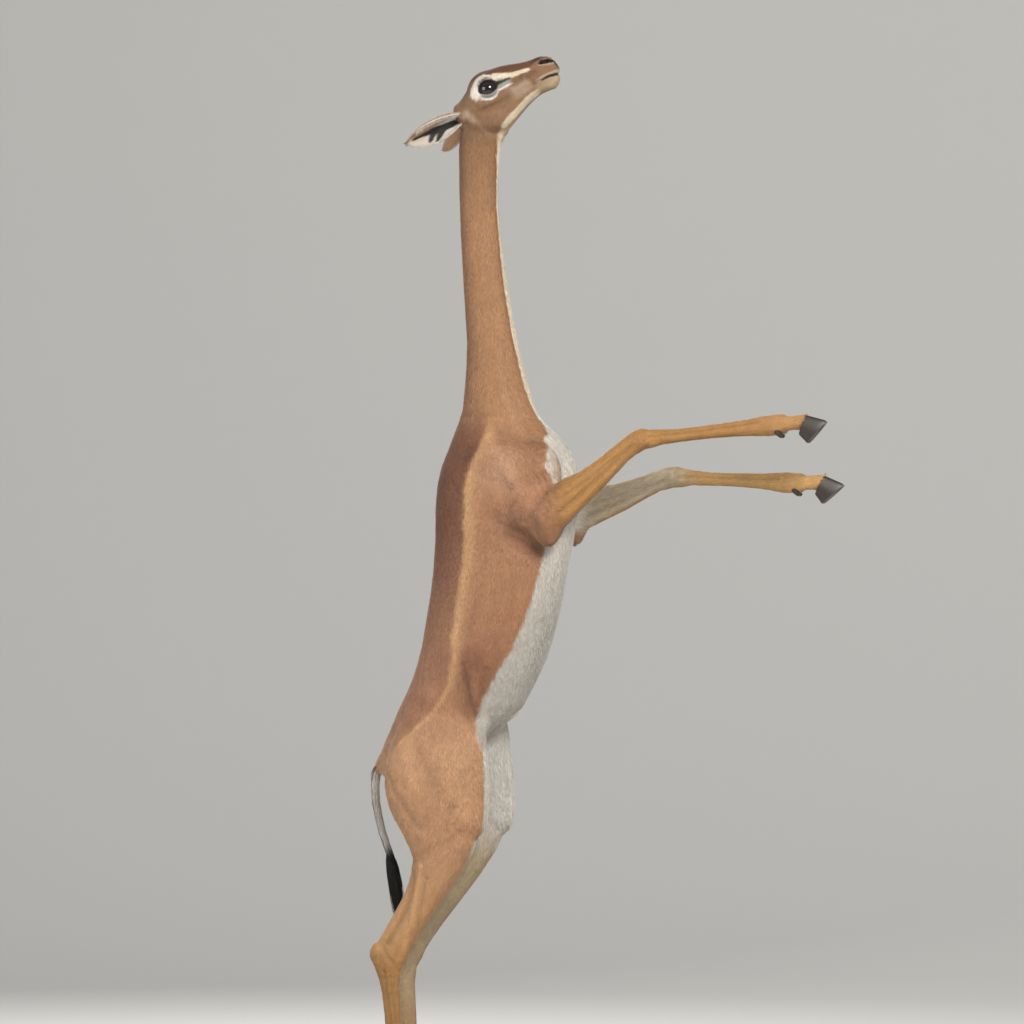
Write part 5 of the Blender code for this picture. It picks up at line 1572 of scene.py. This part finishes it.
# %% Hairs along the tail
def make_tail_fringe(number=1300, steps=5):
    """Hairs along the tail: white at its sides and inside, brown along its back."""
    draw = np.random.default_rng(23)
    along = 0.22 + 0.78 * draw.random(number)
    lengths = np.concatenate([[0], np.cumsum(np.linalg.norm(np.diff(TAIL, axis=0), axis=1))])
    far = along * lengths[-1]
    middle = np.stack([np.interp(far, lengths, TAIL[:, axis]) for axis in range(3)], axis=-1)
    ahead = np.stack([np.interp(far + 0.01, lengths, TAIL[:, axis]) for axis in range(3)], axis=-1)
    heading = normalised(ahead - middle + (0, 0, -1e-5))
    turn = draw.random(number) * math.tau
    east = normalised(np.cross(heading, (0.0, 1.0, 0.0)))
    outward = east * np.cos(turn)[:, None] + np.array((0.0, 1.0, 0.0)) * np.sin(turn)[:, None]
    radius = np.interp(along, (0.0, 0.3, 1.0), (0.0110, 0.0070, 0.0054))
    root = middle + outward * radius[:, None]
    share = np.linspace(0, 1, steps)
    length = 0.022 * (0.7 + 0.5 * draw.random(number))
    paths = (
        root[:, None, :]
        + heading[:, None, :] * (length[:, None] * share)[:, :, None]
        + outward[:, None, :] * (0.0014 * np.sin(share * 2.2))[None, :, None]
    )
    radii = 0.00050 * (1 - 0.8 * share)[None, :] * (0.7 + 0.6 * draw.random((number, 1)))
    back = smooth_step(0.35, 0.85, -outward[:, 0] * 0.9 - outward[:, 2] * 0.2)
    tint = mixed(np.repeat(WHITE_HAIR[None], number, axis=0), SADDLE * 0.5, 0.85 * back)
    tint = mixed(tint, SADDLE, smooth_step(0.30, 0.22, along))
    tint = mixed(tint, BLACK_HAIR, smooth_step(0.82, 0.93, along))
    tint = tint * (0.85 + 0.25 * draw.random((number, 1)))
    make_strands("tail_fringe", paths, radii, root, tint)


make_tail_fringe()


# %% Fringes and lashes
def make_fringe(name, root, heading, outward, length, radius, tint, number, seed, steps=5):
    """Loose hairs in a row along a path of roots."""
    draw = np.random.default_rng(seed)
    along = draw.random(number)
    stations = np.linspace(0, 1, len(root))
    start = np.stack([np.interp(along, stations, root[:, axis]) for axis in range(3)], axis=-1)
    start = start + draw.normal(size=(number, 3)) * 0.0012
    way = normalised(heading + 0.18 * draw.normal(size=(number, 3)))
    share = np.linspace(0, 1, steps)
    long = length * (0.55 + 0.6 * draw.random(number))
    paths = (
        start[:, None, :]
        + way[:, None, :] * (long[:, None] * share)[:, :, None]
        + outward * (0.35 * long[:, None] * share**2)[:, :, None]
    )
    radii = radius * (1 - 0.85 * share)[None, :] * (0.7 + 0.6 * draw.random((number, 1)))
    make_strands(name, paths, radii, start, tint * (0.8 + 0.35 * draw.random((number, 1))))


def lid_roots(side):
    """Places along the upper lid's edge, and the directions out of the eye and up over it."""
    across = normalised(LID_LINE - EYE_GAZE * EYE_GAZE[0])
    upright = np.cross(EYE_GAZE, across)
    lids = []
    for angle in np.linspace(0.35, 2.6, 12):
        flat = across * math.cos(angle) * LID_LENGTH / 2 * 1.03
        flat = flat + upright * math.sin(angle) * LID_HEIGHT / 2 * 1.24
        lids.append(EYE_MIDDLE + flat + EYE_GAZE * math.sqrt((EYE_RADIUS + 0.0022) ** 2 - flat @ flat))
    gaze, lift = normalised(from_eye(EYE_GAZE, side)), normalised(from_eye(upright, side))
    return from_head(np.array(lids), side), gaze, lift


belly_end = above_soles(
    (0.060, -0.030, 0.876), (0.082, -0.018, 0.884), (0.098, 0.0, 0.888), (0.082, 0.018, 0.884),
    (0.060, 0.030, 0.876),
)
down, ahead = np.array((0.15, 0.0, -1.0)), np.array((0.25, 0.0, -0.1))
make_fringe("belly_fringe", belly_end, down, ahead, 0.020, 0.00035, WHITE_HAIR, 420, 41)
for label, side in SIDES.items():
    share = np.linspace(0.05, 0.80, 9)
    edge = ear_points(side, share, np.full(9, math.radians(-96) * side), np.full(9, 0.0008))
    along, opening, across = ear_frame(side)[1:]
    heading = along * 0.5 + across * side * 0.7
    make_fringe("ear_fringe_" + label, edge, heading, opening, 0.0085, 0.00024, WHITE_HAIR, 420, 43)
    lids, gaze, lift = lid_roots(side)
    heading = gaze * 0.7 + lift * 0.9
    make_fringe("lashes_" + label, lids, heading, lift, 0.0075, 0.00020, BLACK_HAIR, 110, 47)

# %% [markdown]
# ## Hooves, dewclaws and the board
#
# Hooves are dull dark horn that grows down in rings. The board is oiled oak, with its grain lengthwise.
# Both solids are already right in form, so they aren't modelled again. The horn's hard edges are
# bevelled and relaxed by modifiers, and only the two materials are new. The rings follow each foot's
# own downward direction, which a place attribute holds, as Object coordinates can't turn with a hoof.


# %% Horn and oak
def horn_material():
    """Dull horn with faint rings, which catch the light as low ridges."""
    material, tree, surface = new_material("horn", hex_colour("#2A211C"), 0.42)
    place = add_node(tree, "ShaderNodeAttribute", attribute_name="growth")
    # Scale 160 sets rings 2 mm apart: coarser than the real ones, so that they show
    rings = add_node(
        tree, "ShaderNodeTexWave", {"Scale": 160.0, "Distortion": 3.0, "Detail": 2.0},
        {"Vector": place.outputs["Vector"]}, bands_direction="Z",
    )
    dark, light = (*hex_colour("#211A16"), 1), (*hex_colour("#342A23"), 1)
    tint = add_node(
        tree, "ShaderNodeMix", {"A": dark, "B": light}, {"Factor": rings.outputs["Fac"]}, data_type="RGBA"
    )
    raised = add_node(
        tree, "ShaderNodeBump", {"Strength": 0.18, "Distance": 0.0005}, {"Height": rings.outputs["Fac"]}
    )
    tree.links.new(tint.outputs["Result"], surface.inputs["Base Color"])
    tree.links.new(raised.outputs["Normal"], surface.inputs["Normal"])
    return material


def oak_material():
    """Oiled oak, satin, its grain drawn by a noise stretched along the board."""
    material, tree, surface = new_material("oak", hex_colour("#8A6440"), 0.42)
    place = add_node(tree, "ShaderNodeTexCoord")
    # Scale 6 on places stretched 0.9 by 14: streaks 185 mm long and 12 mm wide, as in flat-sawn oak
    stretch = add_node(
        tree, "ShaderNodeMapping", {"Scale": (0.9, 14.0, 14.0)}, {"Vector": place.outputs["Object"]}
    )
    grain = add_node(
        tree, "ShaderNodeTexNoise", {"Scale": 6.0, "Detail": 8.0, "Distortion": 0.6},
        {"Vector": stretch.outputs["Vector"]},
    )
    tint = add_node(tree, "ShaderNodeValToRGB", links={"Fac": grain.outputs["Fac"]})
    ramp = tint.color_ramp.elements
    ramp[0].position, ramp[0].color = 0.32, (*hex_colour("#5E4028"), 1)
    ramp[1].position, ramp[1].color = 0.68, (*hex_colour("#A67C50"), 1)
    raised = add_node(
        tree, "ShaderNodeBump", {"Strength": 0.25, "Distance": 0.0006}, {"Height": grain.outputs["Fac"]}
    )
    tree.links.new(tint.outputs["Color"], surface.inputs["Base Color"])
    tree.links.new(raised.outputs["Normal"], surface.inputs["Normal"])
    return material


horn_look, oak_look = horn_material(), oak_material()
print("materials", horn_look.name, oak_look.name)


# %% Which way the horn grows
def growth_places(points):
    """Each point's place in its own foot's frame, whose last axis runs down the pastern and hoof."""
    nearest = np.full(len(points), np.inf)
    places = np.zeros_like(points)
    for side in (RIGHT, LEFT):
        for leg in leg_points(side):
            down = normalised(leg[-1] - leg[-2])
            east = normalised(np.cross(down, (0.0, 1.0, 0.0)))
            away = points - leg[-1]
            reach = np.linalg.norm(away, axis=1)
            closer = reach < nearest
            nearest[closer] = reach[closer]
            places[closer] = away[closer] @ np.array((east, np.cross(down, east), down)).T
    return places


# %% Make the hooves and dewclaws, and dress the board
def refined_horn(name, nodes):
    """Finer copies of the horn solids, with soft edges and growth rings."""
    horn = gathered_nodes(name, nodes)
    modify(horn, "WELD", merge_threshold=0.00002)
    modify(horn, "BEVEL", limit_method="ANGLE", angle_limit=math.radians(38), width=0.0012, segments=3)
    modify(horn, "SUBSURF", subdivision_type="SIMPLE", levels=1, render_levels=1)
    modify(horn, "SMOOTH", factor=0.5, iterations=3)
    apply_modifiers(horn)
    held = horn.data.attributes.new("growth", "FLOAT_VECTOR", "POINT")
    write_array(held.data, "vector", growth_places(corners_of(horn)))
    horn.data.shade_smooth()
    horn.data.materials.clear()
    horn.data.materials.append(horn_look)
    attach(horn, "root")
    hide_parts(*nodes)
    print(name, "faces", len(horn.data.polygons))


refined_horn("hooves", [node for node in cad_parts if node.startswith("hoof_")])
refined_horn("dewclaws", [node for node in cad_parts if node.startswith("dewclaw_")])
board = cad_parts["stand_base"].data
board.materials.clear()
board.materials.append(oak_look)

# %% [markdown]
# ## Room, lights and camera
#
# Thin cloud gives soft light from above, a little stronger from one side, and shows short hair at its
# best. A single sun would cut hard shadows into the coat. Three large area lights and a pale sky stand
# in for the cloud, in a room whose floor curves up so that no line shows behind the animal. The camera
# stands far off, as with a long lens, and 15 degrees ahead of square to the animal's right side.

# %% The room
FLOOR_NEAR, FLOOR_FAR, CURVE, WALL_TOP, ROOM_HALF = -9.0, 5.0, 3.0, 9.0, 14.0
CURVE_STEPS = 12


def make_room():
    """A pale floor that curves up into a backdrop."""
    shape = bmesh.new()
    profile = [(FLOOR_NEAR, 0.0), (FLOOR_FAR, 0.0)]
    for step in range(1, CURVE_STEPS + 1):
        angle = step * math.pi / (2 * CURVE_STEPS)
        profile.append((FLOOR_FAR + CURVE * math.sin(angle), CURVE - CURVE * math.cos(angle)))
    profile.append((FLOOR_FAR + CURVE, WALL_TOP))
    near = [shape.verts.new((-ROOM_HALF, *place)) for place in profile]
    far = [shape.verts.new((ROOM_HALF, *place)) for place in profile]
    for k in range(len(profile) - 1):
        shape.faces.new((near[k], far[k], far[k + 1], near[k + 1]))
    mesh = bpy.data.meshes.new("room")
    shape.to_mesh(mesh)
    shape.free()
    room = bpy.data.objects.new("room", mesh)
    bpy.context.scene.collection.objects.link(room)
    mesh.materials.append(new_material("room", hex_colour("#E4E2DD"), 0.9)[0])
    mesh.shade_smooth()


make_room()


# %% The lights and the sky
def area_light(name, place, aim, size, power, colour):
    """A rectangular light that faces a place."""
    light = bpy.data.lights.new(name, "AREA")
    light.energy = power
    light.shape = "RECTANGLE"
    light.size, light.size_y = size
    light.color = colour
    lamp = bpy.data.objects.new(name, light)
    bpy.context.scene.collection.objects.link(lamp)
    lamp.location = place
    lamp.rotation_euler = (Vector(aim) - Vector(place)).to_track_quat("-Z", "Y").to_euler()


area_light("key", (2.6, -3.6, 3.9), (0.1, 0, 1.4), (1.6, 1.6), 260, (1.0, 0.96, 0.90))
area_light("fill", (-3.4, -3.0, 2.2), (0.0, 0, 1.2), (2.5, 2.5), 90, (0.92, 0.96, 1.0))
area_light("rim", (-1.8, 3.0, 3.4), (0.0, 0, 1.5), (1.2, 2.0), 110, (1.0, 0.98, 0.95))

world = bpy.data.worlds.new("studio")
bpy.context.scene.world = world
world.use_nodes = True
sky = world.node_tree.nodes["Background"]
sky.inputs["Color"].default_value = (*hex_colour("#DDE0E4"), 1)
sky.inputs["Strength"].default_value = 0.55
print("lights", len(bpy.data.lights))

# %% The camera
CAMERA_TURN = math.radians(15.0)
CAMERA_DISTANCE = 14.0
PICTURE_SPAN = 2.048  # metres across the picture at the animal: 2 mm a pixel
SENSOR_WIDTH = 36.0
AIM = Vector((0.084 * math.cos(CAMERA_TURN), 0.084 * math.sin(CAMERA_TURN), 1.3103))

camera_data = bpy.data.cameras.new("camera")
camera_data.sensor_width = SENSOR_WIDTH
camera_data.lens = SENSOR_WIDTH * CAMERA_DISTANCE / PICTURE_SPAN
camera_data.clip_end = 60.0
camera = bpy.data.objects.new("camera", camera_data)
bpy.context.scene.collection.objects.link(camera)
camera.location = AIM + CAMERA_DISTANCE * Vector((math.sin(CAMERA_TURN), -math.cos(CAMERA_TURN), 0))
camera.rotation_euler = (AIM - camera.location).to_track_quat("-Z", "Y").to_euler()
bpy.context.scene.camera = camera
bpy.context.scene.view_settings.view_transform = "Standard"
print("camera at", camera.location, "lens", round(camera_data.lens, 1))
